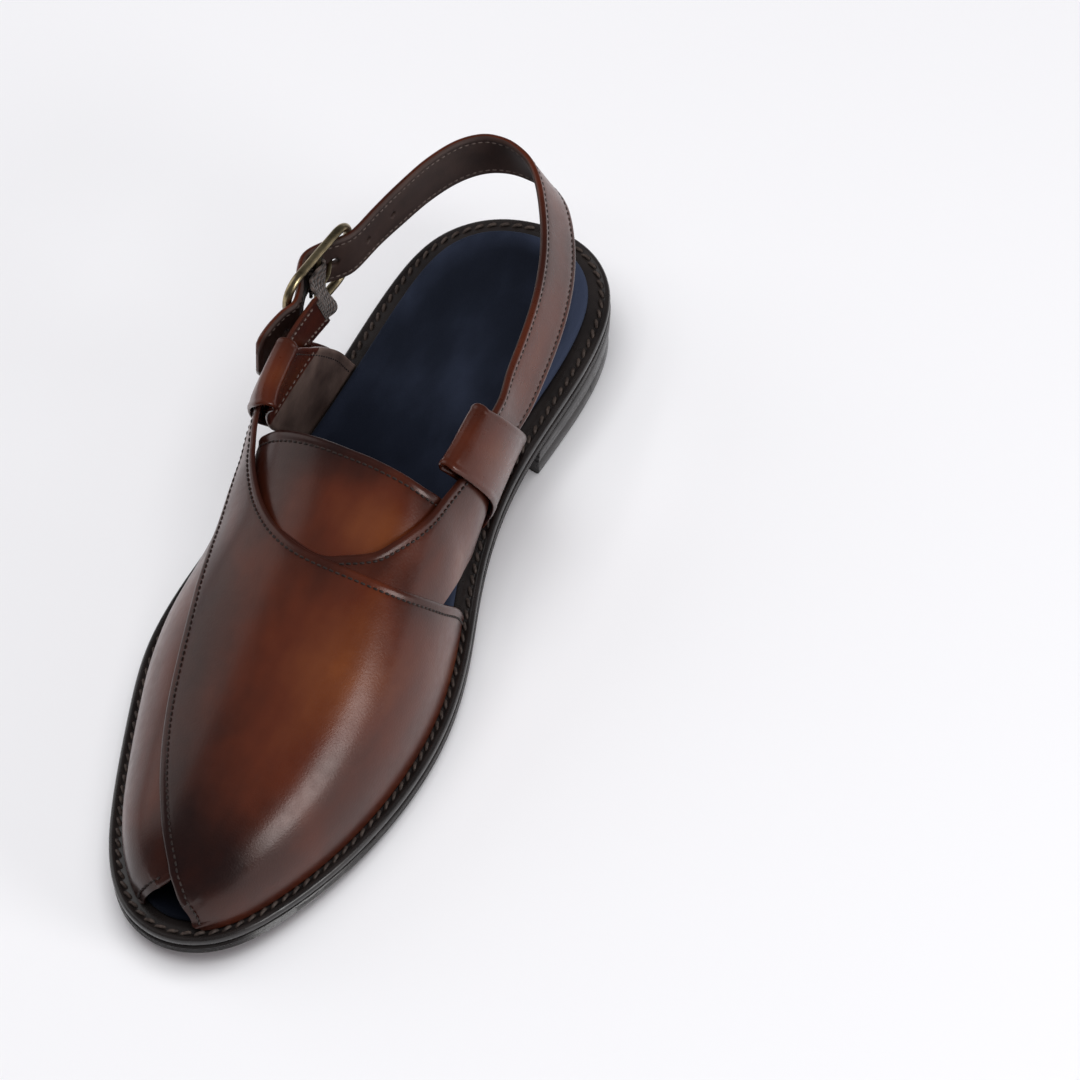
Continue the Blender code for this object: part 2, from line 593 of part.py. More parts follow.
def side_loop(name, side, rows, tunnel, group):
    """A leather loop: a post off the welt that wraps over the strap and closes under the tunnel."""
    front, rear, outer, inner = (column(rows, i) for i in range(1, 5))
    top = rows[-1][0]
    post = np.linspace(0, tunnel, 4)
    wall = np.linspace(tunnel, top, 6)
    outside = [(h, outer(h)) for h in post]
    inside = [(h, inner(h)) for h in post]
    crown = (outer(top) - inner(top)) / 2
    middle = (outer(top) + inner(top)) / 2
    turns = [math.pi * i / 6 for i in range(1, 6)]
    skin = [(h, outer(h)) for h in wall[1:]]
    skin += [(top + crown * math.sin(a), middle + crown * math.cos(a)) for a in turns]
    skin += [(h, inner(h)) for h in wall[:0:-1]]
    bore = [(h, outer(h) - PLY) for h in wall[1:]]
    bore += [(top + (crown - PLY) * math.sin(a), middle + (crown - PLY) * math.cos(a)) for a in turns]
    bore += [(h, inner(h) + PLY) for h in wall[:0:-1]]
    floor = (tunnel + 1.2, (outer(tunnel) + inner(tunnel)) / 2)
    corners = outside + inside + skin + bore + [floor]
    posts, skins = len(post), len(skin)
    cells = [(i, i + 1, posts + i + 1, posts + i) for i in range(posts - 1)]
    skin_at, bore_at, floor_at = 2 * posts, 2 * posts + skins, 2 * posts + 2 * skins
    outer_foot, inner_foot = posts - 1, 2 * posts - 1
    cells.append((outer_foot, floor_at, inner_foot))
    cells.append((outer_foot, skin_at, bore_at, floor_at))
    cells += [(skin_at + i, skin_at + i + 1, bore_at + i + 1, bore_at + i) for i in range(skins - 1)]
    cells.append((skin_at + skins - 1, inner_foot, floor_at, bore_at + skins - 1))
    levels = []
    for t in np.linspace(0, 1, 7):
        level = []
        for height, lift in corners:
            low = min(height, top)
            back = rear(low) + (front(low) - rear(low)) * t
            girth = section(back)[1][-1]
            share = height / girth if side < 0 else 1 - height / girth
            level.append(on_last(back, share, lift))
        levels.append(level)
    return layered(name, cells, levels, LEATHER, group)


def lean_direction(across, back):
    """Unit vector up a band whose top leans by these amounts for each millimetre up."""
    upright = np.array([across, back, 1.0])
    return upright / np.linalg.norm(upright)


def band(name, middles, uprights, widths, thick, finish, group):
    """A flat band along a route, thinner at its edges."""
    middles = np.array(middles, float)
    ahead = np.gradient(middles, axis=0)
    profile = ((-0.5, 0.25), (-0.44, 0.5), (0.44, 0.5), (0.5, 0.25))
    levels = []
    for middle, along, upright, width in zip(middles, ahead, uprights, widths):
        out = np.cross(along, upright)
        out /= np.linalg.norm(out)
        level = [middle + upright * width * high + out * thick * half * sign
                 for sign in (-1, 1) for high, half in profile]
        levels.append(level)
    return layered(name, grid_cells(1, len(profile) - 1), levels, finish, group)


def buckle_frame_axes():
    """The buckle's own directions: towards the toe, up its bars, and outward."""
    heading = np.array([*BUCKLE_HEADING, 0.0])
    forward = -heading / np.linalg.norm(heading)
    upright = lean_direction(*BUCKLE_LEAN)
    upright = upright - forward * (upright @ forward)
    upright /= np.linalg.norm(upright)
    outward = np.cross(forward, upright)
    if outward[0] > 0:
        outward = -outward
    return forward, upright, outward


def at_buckle(ahead, high, out):
    """A place by its distances from the middle of the centre bar."""
    forward, upright, outward = buckle_frame_axes()
    return np.array(BUCKLE_AT) + forward * ahead + upright * high + outward * out


def strap_route():
    """Middles, upright directions and widths of the whole back strap."""
    upright = buckle_frame_axes()[1]
    rows = [(*row[:3], *row[3:], STRAP_WIDTH) for row in BACK_STRAP]
    lean = upright[:2] / upright[2]
    for ahead, out, drop, share in STRAP_WEAVE:
        rows.append((*at_buckle(ahead, -drop, out), *lean, STRAP_WIDTH * share))
    route = smooth_route(rows, 2)
    return route[:, :3], [lean_direction(*row[3:5]) for row in route], route[:, 5]


def build_strap(group, cutters):
    """Back strap with its row of holes."""
    middles, uprights, widths = strap_route()
    strap = band("back_strap", middles, uprights, widths, STRAP_THICK, STRAP_LEATHER, group)
    travelled = np.r_[0, np.cumsum(np.linalg.norm(np.diff(middles, axis=0), axis=1))]
    bar = travelled[np.linalg.norm(middles - np.array(at_buckle(0, 0, STRAP_WEAVE[3][1])), axis=1).argmin()]
    for i, ahead in enumerate(STRAP_HOLES):
        centre = np.array([np.interp(bar + ahead, travelled, middles[:, k]) for k in range(3)])
        nearest = np.abs(travelled - bar - ahead).argmin()
        nearest = min(max(nearest, 1), len(middles) - 2)
        out = np.cross(middles[nearest + 1] - middles[nearest - 1], uprights[nearest])
        out *= 3 / np.linalg.norm(out)
        radius = PRONG_HOLE_RADIUS if ahead == STRAP_HOLES[2] else HOLE_RADIUS
        cut(strap, cylinder("strap_hole_%d" % (i + 1), centre - out, centre + out, radius, cutters))


def cylinder(name, start, end, radius, group):
    """A straight round bar between two places."""
    low, high = np.array(place(start)), np.array(place(end))
    axis = high - low
    length = np.linalg.norm(axis)
    bpy.ops.mesh.primitive_cylinder_add(vertices=12, radius=radius * MM, depth=length)
    made = bpy.context.active_object
    made.name = name
    made.data.name = name
    made.location = (low + high) / 2
    made.rotation_mode = "QUATERNION"
    made.rotation_quaternion = Vector(axis).to_track_quat("Z", "Y")
    for owner in list(made.users_collection):
        owner.objects.unlink(made)
    group.objects.link(made)
    return made


def wire(name, points, radius, finish, group, closed=False):
    """A round wire along places."""
    data = bpy.data.curves.new(name, "CURVE")
    data.dimensions = "3D"
    data.bevel_depth = radius * MM
    data.bevel_resolution = 2
    data.use_fill_caps = not closed
    spline = data.splines.new("POLY")
    spline.points.add(len(points) - 1)
    for knot, point in zip(spline.points, points):
        knot.co = (*place(point), 1.0)
    spline.use_cyclic_u = closed
    data.materials.append(material(finish))
    made = bpy.data.objects.new(name, data)
    group.objects.link(made)
    return made


def as_mesh(curve, group):
    """The same object as a closed mesh, so that it can be joined to another."""
    bpy.context.view_layer.update()
    ready = curve.evaluated_get(bpy.context.evaluated_depsgraph_get())
    mesh = bpy.data.meshes.new_from_object(ready)
    work = bmesh.new()
    work.from_mesh(mesh)
    bmesh.ops.remove_doubles(work, verts=work.verts[:], dist=0.000001)
    bmesh.ops.recalc_face_normals(work, faces=work.faces[:])
    work.to_mesh(mesh)
    work.free()
    name = curve.name
    bpy.data.objects.remove(curve, do_unlink=True)
    made = bpy.data.objects.new(name, mesh)
    mesh.name = name
    mesh.shade_smooth()
    group.objects.link(made)
    return made


def rounded_rectangle(long, high, corner, steps):
    """Ahead and high of points round a rectangle with round corners."""
    points = []
    for turn, (sx, sz) in enumerate(((1, 1), (-1, 1), (-1, -1), (1, -1))):
        for i in range(steps + 1):
            angle = math.pi / 2 * (turn + i / steps)
            points.append((sx * (long / 2 - corner) + corner * math.cos(angle),
                           sz * (high / 2 - corner) + corner * math.sin(angle)))
    return points


def build_buckle(group, cutters):
    """Brass frame with its centre bar, and the prong that turns on the bar."""
    loop = [at_buckle(ahead, high, 0.0)
            for ahead, high in rounded_rectangle(BUCKLE_LONG, BUCKLE_HIGH, BUCKLE_CORNER, 5)]
    frame = as_mesh(wire("buckle_frame", loop, WIRE, BRASS, group, closed=True), group)
    reach = BUCKLE_HIGH / 2
    bar = wire("centre_bar", [at_buckle(0, -reach, 0), at_buckle(0, reach, 0)], BAR, BRASS, cutters)
    cut(frame, as_mesh(bar, cutters), "UNION")
    hub = BAR + JOIN + PRONG
    eye = [at_buckle(hub * math.cos(a), 0.0, hub * math.sin(a))
           for a in np.radians(np.linspace(150, -95, 12))]
    rest = WIRE + JOIN + PRONG
    rear = -BUCKLE_LONG / 2
    eye += [at_buckle(ahead, 0.0, out) for ahead, out in (
        (-3.6, -1.7), (-6.2, -0.4), (-8.6, 0.9), (-11.5, 2.1), (rear + 2.5, rest), (rear, rest),
        (rear - 2.0, rest - 0.5))]
    wire("buckle_prong", eye, PRONG, BRASS, group)


def build_elastic(group, cutters):
    """Woven elastic from behind the lateral strap's end tab to the buckle's centre bar and round it."""
    lift = OUTER_UNDER - JOIN - WEB_THICK / 2
    route, uprights = [], []
    for shift in (WEB_TUCK, 0.0):
        low, high = (on_last(back + shift, share, lift) for back, share in TAB_END)
        route.append((low + high) / 2)
        uprights.append((high - low) / np.linalg.norm(high - low))
    wrap = BAR + JOIN + WEB_THICK / 2
    turns = np.radians(np.linspace(-100, -315, 10))
    around = [at_buckle(wrap * math.cos(a), 0.0, wrap * math.sin(a)) for a in turns]
    bar_upright = buckle_frame_axes()[1]
    for share in (0.35, 0.7):
        route.append(route[1] + (around[0] - route[1]) * share)
        uprights.append(uprights[1] + (bar_upright - uprights[1]) * share)
    route += around
    uprights += [bar_upright] * len(around)
    web = band("elastic_webbing", route, uprights, [WEB_WIDTH] * len(route), WEB_THICK, ELASTIC, group)
    corners = [[at_buckle(ahead, high, out) for ahead in (-6.0, 4.5) for high in (-1.4, 1.4)]
               for out in (-6.0, 6.0)]
    cut(web, layered("prong_slot", [(0, 1, 3, 2)], corners, ELASTIC, cutters))


def main():
    clear_scene()
    group = new_collection("peshawari_chappal")
    cutters = new_collection("cutters")
    build_sole(group, cutters)
    build_upper(group, cutters)
    side_loop("side_loop_medial", 1, LOOP_MEDIAL, TUNNEL_MEDIAL, group)
    side_loop("side_loop_lateral", -1, LOOP_LATERAL, TUNNEL_LATERAL, group)
    build_strap(group, cutters)
    build_buckle(group, cutters)
    build_elastic(group, cutters)


main()
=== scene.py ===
"""Dresses the packed peshawari chappal: leather, stitches, suede, elastic, brass, sole and studio."""
import math

import bmesh
import bpy
import numpy as np
from mathutils import Matrix, Vector
from mathutils.geometry import delaunay_2d_cdt


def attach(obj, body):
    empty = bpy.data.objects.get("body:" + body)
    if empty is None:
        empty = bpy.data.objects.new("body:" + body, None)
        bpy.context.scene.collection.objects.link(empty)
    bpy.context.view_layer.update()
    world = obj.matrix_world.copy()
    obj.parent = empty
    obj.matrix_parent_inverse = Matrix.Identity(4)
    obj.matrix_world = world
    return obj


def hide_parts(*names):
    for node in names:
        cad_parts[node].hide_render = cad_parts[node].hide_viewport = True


bl_info = {
    "name": "Peshawari chappal",
    "version": (1, 0, 0),
    "blender": (4, 5, 0),
    "location": "View3D > Sidebar > Chappal",
    "description": "Dresses a right-foot peshawari chappal in leather, suede, brass and rubber",
    "category": "Add Mesh",
}

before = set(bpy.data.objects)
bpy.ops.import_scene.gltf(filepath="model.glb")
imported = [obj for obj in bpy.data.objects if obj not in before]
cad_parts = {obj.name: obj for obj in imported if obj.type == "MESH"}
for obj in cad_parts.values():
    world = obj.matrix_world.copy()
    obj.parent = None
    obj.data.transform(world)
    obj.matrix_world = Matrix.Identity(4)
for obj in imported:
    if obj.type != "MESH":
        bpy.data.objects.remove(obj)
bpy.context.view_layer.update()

# Lengths are in millimetres. A place is across (medial positive), back (from the heel's rear edge) and up.
MM = 0.001
MIDDLE_ACROSS = 0.5
MIDDLE_BACK = 151.0
JOIN = 0.3
OUTSOLE_THICK = 4.8
WELT_THICK = 3.6
INSOLE_THICK = 2.6
INSOLE_INSET = 7.3
HEEL_BREAST = 82.0
BREAST_HOLLOW = 5.0
LIFT_THICK = 6.0
LIFT_SPLIT = 45.0
HEEL_TAPER = 1.6
GRIP_PROUD = 0.8
GRIP_HALF_WIDTH = 33.5
FEATHER_INSET = 4.4
TOE_ROUND = 35.0
GIRTH_SCALE = 190.0

# Sole outline, medial side first: across, back
OUTLINE = (
    (0.0, 0.0), (19.5, 5.0), (31.0, 16.5), (37.2, 38.0), (36.6, 68.0), (34.6, 100.0),
    (38.6, 134.0), (47.2, 165.0), (52.4, 196.0), (51.0, 226.0), (45.0, 254.0), (34.8, 279.5),
    (21.5, 297.0), (7.5, 302.0), (-7.0, 298.0), (-19.8, 285.5), (-32.3, 261.0), (-43.2, 230.0),
    (-51.3, 198.0), (-51.0, 165.0), (-46.6, 135.0), (-42.2, 105.0), (-39.6, 75.0), (-37.4, 40.0),
    (-31.0, 16.5), (-19.5, 5.0),
)

# Underside of the outsole: back, up
PROFILE = (
    (0, 15.6), (45, 14.4), (78, 12.6), (105, 10.0), (140, 5.2), (172, 1.4), (190, 0.8),
    (222, 0.8), (240, 1.4), (262, 2.7), (284, 4.3), (302, 6.2),
)

# Forefoot grip: back, half width, middle across
GRIP = (
    (160.0, 0.0, -1.0), (163.0, 13.5, -1.0), (170.0, 22.5, -0.6), (184.0, 30.5, 0.0),
    (202.0, 33.5, 0.6), (220.0, 31.5, 1.4), (236.0, 25.5, 2.2), (247.0, 17.0, 3.0),
    (254.0, 8.5, 3.5), (256.0, 0.0, 3.6),
)

# Last: back, ridge height above the welt, ridge across, squareness of the lateral and medial sides,
# their bulge at half height, and how far they lean out at the top
LAST = (
    (78, 76.0, 1.0, 5.0, 3.2, 1.0, 8.0, -1.0, 2.0),
    (105, 75.0, 1.5, 5.0, 3.2, 1.0, 8.5, -1.5, 2.0),
    (130, 70.5, 2.5, 4.2, 3.1, 0.6, 6.5, -2.5, 2.5),
    (150, 65.5, 4.0, 2.7, 3.0, -1.2, 2.0, -3.2, 2.5),
    (175, 61.0, 6.5, 2.1, 2.5, -2.2, 0.6, -3.0, 0.5),
    (200, 54.5, 8.5, 2.05, 2.35, -1.0, 0.5, -1.2, 0.0),
    (225, 46.0, 9.5, 2.12, 2.3, 0.2, 0.5, 0.0, 0.0),
    (250, 37.5, 9.5, 2.22, 2.3, 0.4, 0.5, 0.0, 0.0),
    (272, 31.0, 8.5, 2.35, 2.35, 0.5, 0.5, 0.0, 0.0),
    (302, 26.0, 7.5, 2.5, 2.5, 0.5, 0.5, 0.0, 0.0),
)

# Edges of the leather panels: back, girth share (0 lateral feather, 1 medial feather)
OUTER_SEAM = (
    (296.0, 0.900), (295.1, 0.630), (291.5, 0.502), (287.2, 0.455), (280.9, 0.411), (271.8, 0.371),
    (262.3, 0.338), (252.2, 0.313), (242.0, 0.298), (231.9, 0.291), (213.4, 0.285), (193.7, 0.266),
    (181.0, 0.243), (169.0, 0.220), (158.5, 0.208), (149.5, 0.202), (141.0, 0.200), (131.0, 0.198),
    (119.0, 0.192), (107.0, 0.184), (86.0, 0.160),
)
OUTER_TOP = (
    (94.5, 0.272), (112.5, 0.284), (123.5, 0.289), (132.8, 0.287), (140.8, 0.281), (147.6, 0.285),
    (155.6, 0.307), (163.3, 0.336), (170.8, 0.372), (177.4, 0.414), (182.0, 0.457), (184.5, 0.497),
    (185.6, 0.537), (185.8, 0.586), (184.4, 0.645), (181.2, 0.703), (176.5, 0.758), (169.7, 0.826),
    (161.0, 0.905), (152.6, 1.000),
)
INNER_TOE = ((294.4, 0.000), (294.8, 0.200), (294.1, 0.345), (292.8, 0.442), (289.0, 0.550))
INNER_HIDDEN = (
    (289.0, 0.550), (270.0, 0.560), (248.0, 0.580), (226.0, 0.640), (206.0, 0.710), (188.0, 0.780),
    (176.0, 0.818), (166.9, 0.840), (158.3, 0.865), (144.8, 0.915), (135.0, 0.952), (128.5, 0.950),
    (124.5, 0.918), (120.5, 0.865),
)
INNER_TOP = (
    (124.0, 0.751), (132.0, 0.746), (139.6, 0.735), (145.8, 0.722), (153.8, 0.703), (162.5, 0.678),
    (170.0, 0.652), (176.6, 0.625), (181.8, 0.579), (184.6, 0.526), (180.1, 0.441), (169.6, 0.310),
    (161.5, 0.205), (155.5, 0.120), (151.5, 0.050), (151.5, 0.000),
)
TONGUE_TOP = (
    (144.2, 0.262), (145.6, 0.294), (147.1, 0.351), (148.1, 0.403), (148.8, 0.469), (149.4, 0.531),
    (149.8, 0.600), (148.6, 0.667), (146.2, 0.717), (144.5, 0.752),
)
TONGUE_HIDDEN = (
    (150.0, 0.765), (176.0, 0.745), (194.0, 0.690), (200.0, 0.520), (194.0, 0.345), (170.0, 0.262),
    (150.0, 0.246),
)

# Side loops: height up the wall, back of the front and rear edges, lift of the outer and inner faces
LOOP_MEDIAL = (
    (0.0, 121.5, 88.5, 0.8, -2.2), (8.0, 122.8, 91.5, 1.2, -3.4), (17.0, 125.0, 95.0, 1.8, -4.5),
    (36.0, 132.0, 105.3, 2.4, -4.9), (46.0, 136.0, 110.5, 2.4, -5.0), (56.0, 139.5, 115.0, 2.0, -5.0),
)
LOOP_LATERAL = (
    (0.0, 115.0, 77.5, 0.8, -2.2), (8.0, 117.5, 81.5, 1.2, -2.8), (17.0, 121.0, 86.0, 1.8, -3.6),
    (32.0, 130.0, 96.0, 2.8, -4.4), (45.0, 135.0, 106.5, 3.1, -4.5), (57.0, 139.5, 115.5, 3.0, -4.6),
)

# Back strap: across, back, up, and how far across and back its top edge leans for each millimetre up
BACK_STRAP = (
    (36.6, 117.5, 56.6, -0.09, 0.10), (36.6, 111.5, 57.0, -0.09, 0.10), (36.6, 104.0, 57.6, -0.11, 0.12),
    (36.0, 94.3, 58.7, -0.25, 0.12), (34.7, 80.0, 60.0, -0.30, 0.11), (32.7, 66.0, 61.0, -0.34, 0.13),
    (29.7, 53.0, 61.9, -0.39, 0.17), (25.5, 40.9, 62.6, -0.42, 0.24), (19.7, 28.9, 63.4, -0.42, 0.31),
    (13.2, 18.9, 64.1, -0.36, 0.34), (6.6, 12.9, 64.4, -0.21, 0.33), (-0.4, 10.3, 64.8, -0.03, 0.27),
    (-7.2, 9.8, 65.3, 0.07, 0.18), (-14.3, 12.4, 65.9, 0.08, 0.08), (-20.8, 19.2, 66.3, 0.07, 0.03),
    (-26.2, 30.0, 66.4, 0.07, 0.02), (-30.3, 43.0, 66.3, 0.08, 0.03), (-33.2, 54.0, 66.2, 0.10, 0.05),
)

# The strap's way through the buckle: ahead of the bar, outward, down, and share of its full width
STRAP_WEAVE = (
    (-17.4, -3.1, 0.0, 1.0), (-12.0, -1.2, 0.0, 1.0), (-6.0, 2.7, 0.0, 1.0), (0.0, 4.7, 0.0, 1.0),
    (6.0, 2.7, 0.2, 1.0), (12.0, -1.2, 0.5, 1.0), (17.4, -3.2, 0.9, 1.0), (22.0, -1.9, 1.5, 1.0),
    (27.0, -1.2, 2.2, 1.0), (31.0, -1.1, 2.8, 1.0), (33.4, -1.15, 3.15, 0.96), (35.3, -1.2, 3.45, 0.8),
    (36.4, -1.25, 3.6, 0.45),
)

# Holes of the strap: ahead of the bar, and radius
STRAP_HOLES = ((-38.0, 1.25), (-25.0, 1.25), (-9.8, 1.9), (25.0, 1.25))

# Middle of the buckle's bar, its heading over the floor, and how far its bars lean across and back
BUCKLE_AT = (-41.4, 82.0, 66.0)
BUCKLE_HEADING = (0.146, -0.989)
BUCKLE_LEAN = (0.10, 0.05)
STRAP_WIDTH = 21.0
STRAP_THICK = 2.2
WIRE = 1.5
BAR = 1.2
PRONG = 0.8
BUCKLE_LONG = 35.0
BUCKLE_HIGH = 26.5
BUCKLE_CORNER = 7.0
TAB_END = ((86.0, 0.160), (94.5, 0.272))
WEB_WIDTH = 19.0
WEB_THICK = 1.2

# Between tab and bar the elastic is turned part of the way to another upright, at these shares of its way
WEB_TWISTED = (-0.40, 0.40, 0.82)
WEB_TWIST = 0.6
WEB_TWISTED_AT = (0.33, 0.67)

# Height of a folded edge over its panel against the distance from the cut edge: a round fold,
# then the sunk line of stitches
FOLD = (
    (0.0, -0.62), (0.25, -0.22), (0.6, 0.06), (1.1, 0.2), (1.7, 0.18), (2.2, 0.05), (2.7, -0.14),
    (3.1, -0.15), (3.7, -0.04), (4.6, 0.0),
)
STITCH_INSET = 2.9
STITCH_STEP = 1.2


def place(points):
    """Metres in the model's frame from across, back and up in millimetres."""
    points = np.atleast_2d(np.asarray(points, float))
    return np.c_[points[:, 0] - MIDDLE_ACROSS, MIDDLE_BACK - points[:, 1], points[:, 2]] * MM


def unit(vectors):
    return vectors / np.maximum(np.linalg.norm(vectors, axis=-1, keepdims=True), 1e-9)


def column(rows, index):
    """A smooth function through one column of a table, against its first, with no overshoot."""
    at = np.array([row[0] for row in rows], float)
    value = np.array([row[index] for row in rows], float)
    step = np.diff(at)
    rise = np.diff(value) / step
    slope = np.zeros(len(at))
    slope[0], slope[-1] = rise[0], rise[-1]
    for i in range(1, len(at) - 1):
        if rise[i - 1] * rise[i] > 0:
            near, far = 2 * step[i] + step[i - 1], step[i] + 2 * step[i - 1]
            slope[i] = (near + far) / (near / rise[i - 1] + far / rise[i])

    def curve(where):
        where = np.clip(where, at[0], at[-1])
        i = np.clip(np.searchsorted(at, where, side="right") - 1, 0, len(at) - 2)
        t = (where - at[i]) / step[i]
        start = (1 + 2 * t) * (1 - t) ** 2 * value[i] + t * (1 - t) ** 2 * step[i] * slope[i]
        return start + t * t * (3 - 2 * t) * value[i + 1] + t * t * (t - 1) * step[i] * slope[i + 1]

    return curve


def closed_spline(points, count):
    """A cubic spline round closed points, read at even steps of chord length."""
    knots = np.array(points, float)
    size = len(knots)
    chord = np.linalg.norm(np.roll(knots, -1, 0) - knots, axis=1)
    system = np.zeros((size, size))
    right = np.zeros((size, 2))
    for i in range(size):
        before, after, following = chord[i - 1], chord[i], (i + 1) % size
        system[i, i - 1] += before
        system[i, i] += 2 * (before + after)
        system[i, following] += after
        right[i] = 6 * ((knots[following] - knots[i]) / after - (knots[i] - knots[i - 1]) / before)
    bend = np.linalg.solve(system, right)
    along = np.r_[0, np.cumsum(chord)]
    read = []
    for t in np.linspace(0, along[-1], count, endpoint=False):
        i = min(np.searchsorted(along, t, side="right") - 1, size - 1)
        following, length = (i + 1) % size, chord[i]
        u, w = t - along[i], along[i + 1] - t
        curved = (bend[i] * w ** 3 + bend[following] * u ** 3) / (6 * length)
        straight = (knots[i] / length - bend[i] * length / 6) * w
        read.append(curved + straight + (knots[following] / length - bend[following] * length / 6) * u)
    return np.array(read)


def smooth_route(points, between):
    """A Catmull-Rom route through the rows of an array, with a few places between each pair."""
    rows = np.array(points, float)
    padded = np.vstack([2 * rows[0] - rows[1], rows, 2 * rows[-1] - rows[-2]])
    route = []
    for i in range(1, len(padded) - 2):
        before, start, end, after = padded[i - 1:i + 3]
        for t in np.linspace(0, 1, between, endpoint=False):
            route.append(0.5 * (2 * start + (end - before) * t
                         + (2 * before - 5 * start + 4 * end - after) * t ** 2
                         + (3 * start - before - 3 * end + after) * t ** 3))
    route.append(rows[-1])
    return np.array(route)


def travelled(points):
    """Length of a route up to each of its places."""
    return np.r_[0, np.cumsum(np.linalg.norm(np.diff(points, axis=0), axis=1))]


def even(points, step):
    """The same route read at even steps of its length."""
    points = np.asarray(points, float)
    length = travelled(points[:, :3])
    marks = np.linspace(0, length[-1], max(2, round(length[-1] / step) + 1))
    return np.stack([np.interp(marks, length, points[:, k]) for k in range(points.shape[1])], axis=1)


OUTLINE_STEPS = 720
SOLE_RING = closed_spline(OUTLINE, OUTLINE_STEPS)
INSETS = {}


def ring(inset):
    """The sole's outline moved in by the inset."""
    along = unit(np.roll(SOLE_RING, -1, 0) - np.roll(SOLE_RING, 1, 0))
    return SOLE_RING + np.c_[-along[:, 1], along[:, 0]] * inset


def sides(inset):
    """Rear end, front end, and the medial and lateral edges of the outline moved in by the inset."""
    if inset not in INSETS:
        loop = ring(inset)
        loop = np.roll(loop, -loop[:, 1].argmin(), 0)
        tip = loop[:, 1].argmax()
        lateral = np.vstack([loop[tip:], loop[:1]])[::-1]
        INSETS[inset] = (loop[0, 1], loop[tip, 1], loop[:tip + 1], lateral)
    return INSETS[inset]


def edge(side, back, inset):
    """Across of one edge of the inset outline; side is -1 lateral, 1 medial."""
    path = sides(inset)[2 if side > 0 else 3]
    return np.interp(back, path[:, 1], path[:, 0])


underside = column(PROFILE, 1)


def outsole_top(back):
    return underside(back) + OUTSOLE_THICK


def seat(back):
    """Top of the welt, where the upper and the insole sit."""
    return outsole_top(back) + WELT_THICK


RIDGE, RIDGE_ACROSS, SQUARE_LAT, SQUARE_MED, BULGE_LAT, BULGE_MED, LEAN_LAT, LEAN_MED = (
    column(LAST, i) for i in range(1, 9))
ANGLES = np.radians(np.r_[0, 0.3, 1, 2, 3.5, np.arange(5, 176, 3), 176.5, 178, 179, 179.7, 180])
FEATHER_TIP = sides(FEATHER_INSET)[1]
TIP_MARGIN = 0.05
LEAST_RISE = 0.4


def section(back):
    """A cross-section of the last, lateral feather to medial feather, and its length so far."""
    back = min(back, FEATHER_TIP - TIP_MARGIN / 2)
    lateral = ANGLES <= math.pi / 2
    low = np.abs(np.cos(ANGLES))
    side = np.where(lateral, -1, 1)
    power = 2 / np.where(lateral, SQUARE_LAT(back), SQUARE_MED(back))
    height = np.clip(np.sin(ANGLES), 0, 1) ** power
    lateral_edge = edge(-1, back, FEATHER_INSET)
    medial_edge = edge(1, back, FEATHER_INSET)
    into_toe = max(0.0, (back - (FEATHER_TIP - TOE_ROUND)) / TOE_ROUND)
    fall = math.sqrt(max(0.0, 1 - into_toe ** 2.2))
    ridge = min(max(RIDGE_ACROSS(back), lateral_edge), medial_edge)
    lean = np.where(lateral, LEAN_LAT(back), LEAN_MED(back))
    bulge = np.where(lateral, BULGE_LAT(back), BULGE_MED(back)) * fall
    foot = np.where(lateral, lateral_edge, medial_edge) + side * lean * height
    across = ridge + (foot - ridge) * low ** power + side * bulge * np.sin(math.pi * height)
    up = seat(back) + RIDGE(back) * fall * height
    points = np.c_[across, np.full(len(across), back), up]
    return points, travelled(points)


def stretched(back):
    """Back measured along the toe's rounding instead of along the floor."""
    start = FEATHER_TIP - TOE_ROUND
    turn = np.clip((np.asarray(back, float) - start) / TOE_ROUND, 0, 1)
    return np.where(back <= start, back, start + TOE_ROUND * np.arcsin(turn))


def unstretched(along):
    start = FEATHER_TIP - TOE_ROUND
    turn = np.clip((np.asarray(along, float) - start) / TOE_ROUND, 0, math.pi / 2)
    return np.where(along <= start, along, start + TOE_ROUND * np.sin(turn))


ALONGS = np.linspace(66.0, float(stretched(FEATHER_TIP - TIP_MARGIN)), 560)
SHARES = np.linspace(0, 1, 321)


def last_surface():
    """The last read on a fine grid: its places, the directions square to it, and its girths."""
    rows, girths = [], []
    for along in ALONGS:
        points, length = section(float(unstretched(along)))
        marks = SHARES * length[-1]
        rows.append(np.stack([np.interp(marks, length, points[:, k]) for k in range(3)], axis=1))
        girths.append(length[-1])
    places = np.array(rows)
    square = unit(np.cross(np.gradient(places, axis=1), np.gradient(places, axis=0)))
    return places, square, np.array(girths)


LAST_PLACES, LAST_SQUARE, LAST_GIRTHS = last_surface()


def on_last(along, share, lift):
    """Places lifted square off the last, never lower than the welt."""
    along, share, lift = np.broadcast_arrays(
        *(np.atleast_1d(np.asarray(value, float)) for value in (along, share, lift)))
    a = np.clip((along - ALONGS[0]) / (ALONGS[1] - ALONGS[0]), 0, len(ALONGS) - 1.001)
    s = np.clip(share * (len(SHARES) - 1), 0, len(SHARES) - 1.001)
    i, j = a.astype(int), s.astype(int)
    u, v = (a - i)[:, None], (s - j)[:, None]

    def read(grid):
        return ((grid[i, j] * (1 - u) + grid[i + 1, j] * u) * (1 - v)
                + (grid[i, j + 1] * (1 - u) + grid[i + 1, j + 1] * u) * v)

    points = read(LAST_PLACES) + unit(read(LAST_SQUARE)) * lift[:, None]
    points[:, 2] = np.maximum(points[:, 2], seat(points[:, 1]) + LEAST_RISE)
    return points


def girth_at(along):
    return np.interp(along, ALONGS, LAST_GIRTHS)


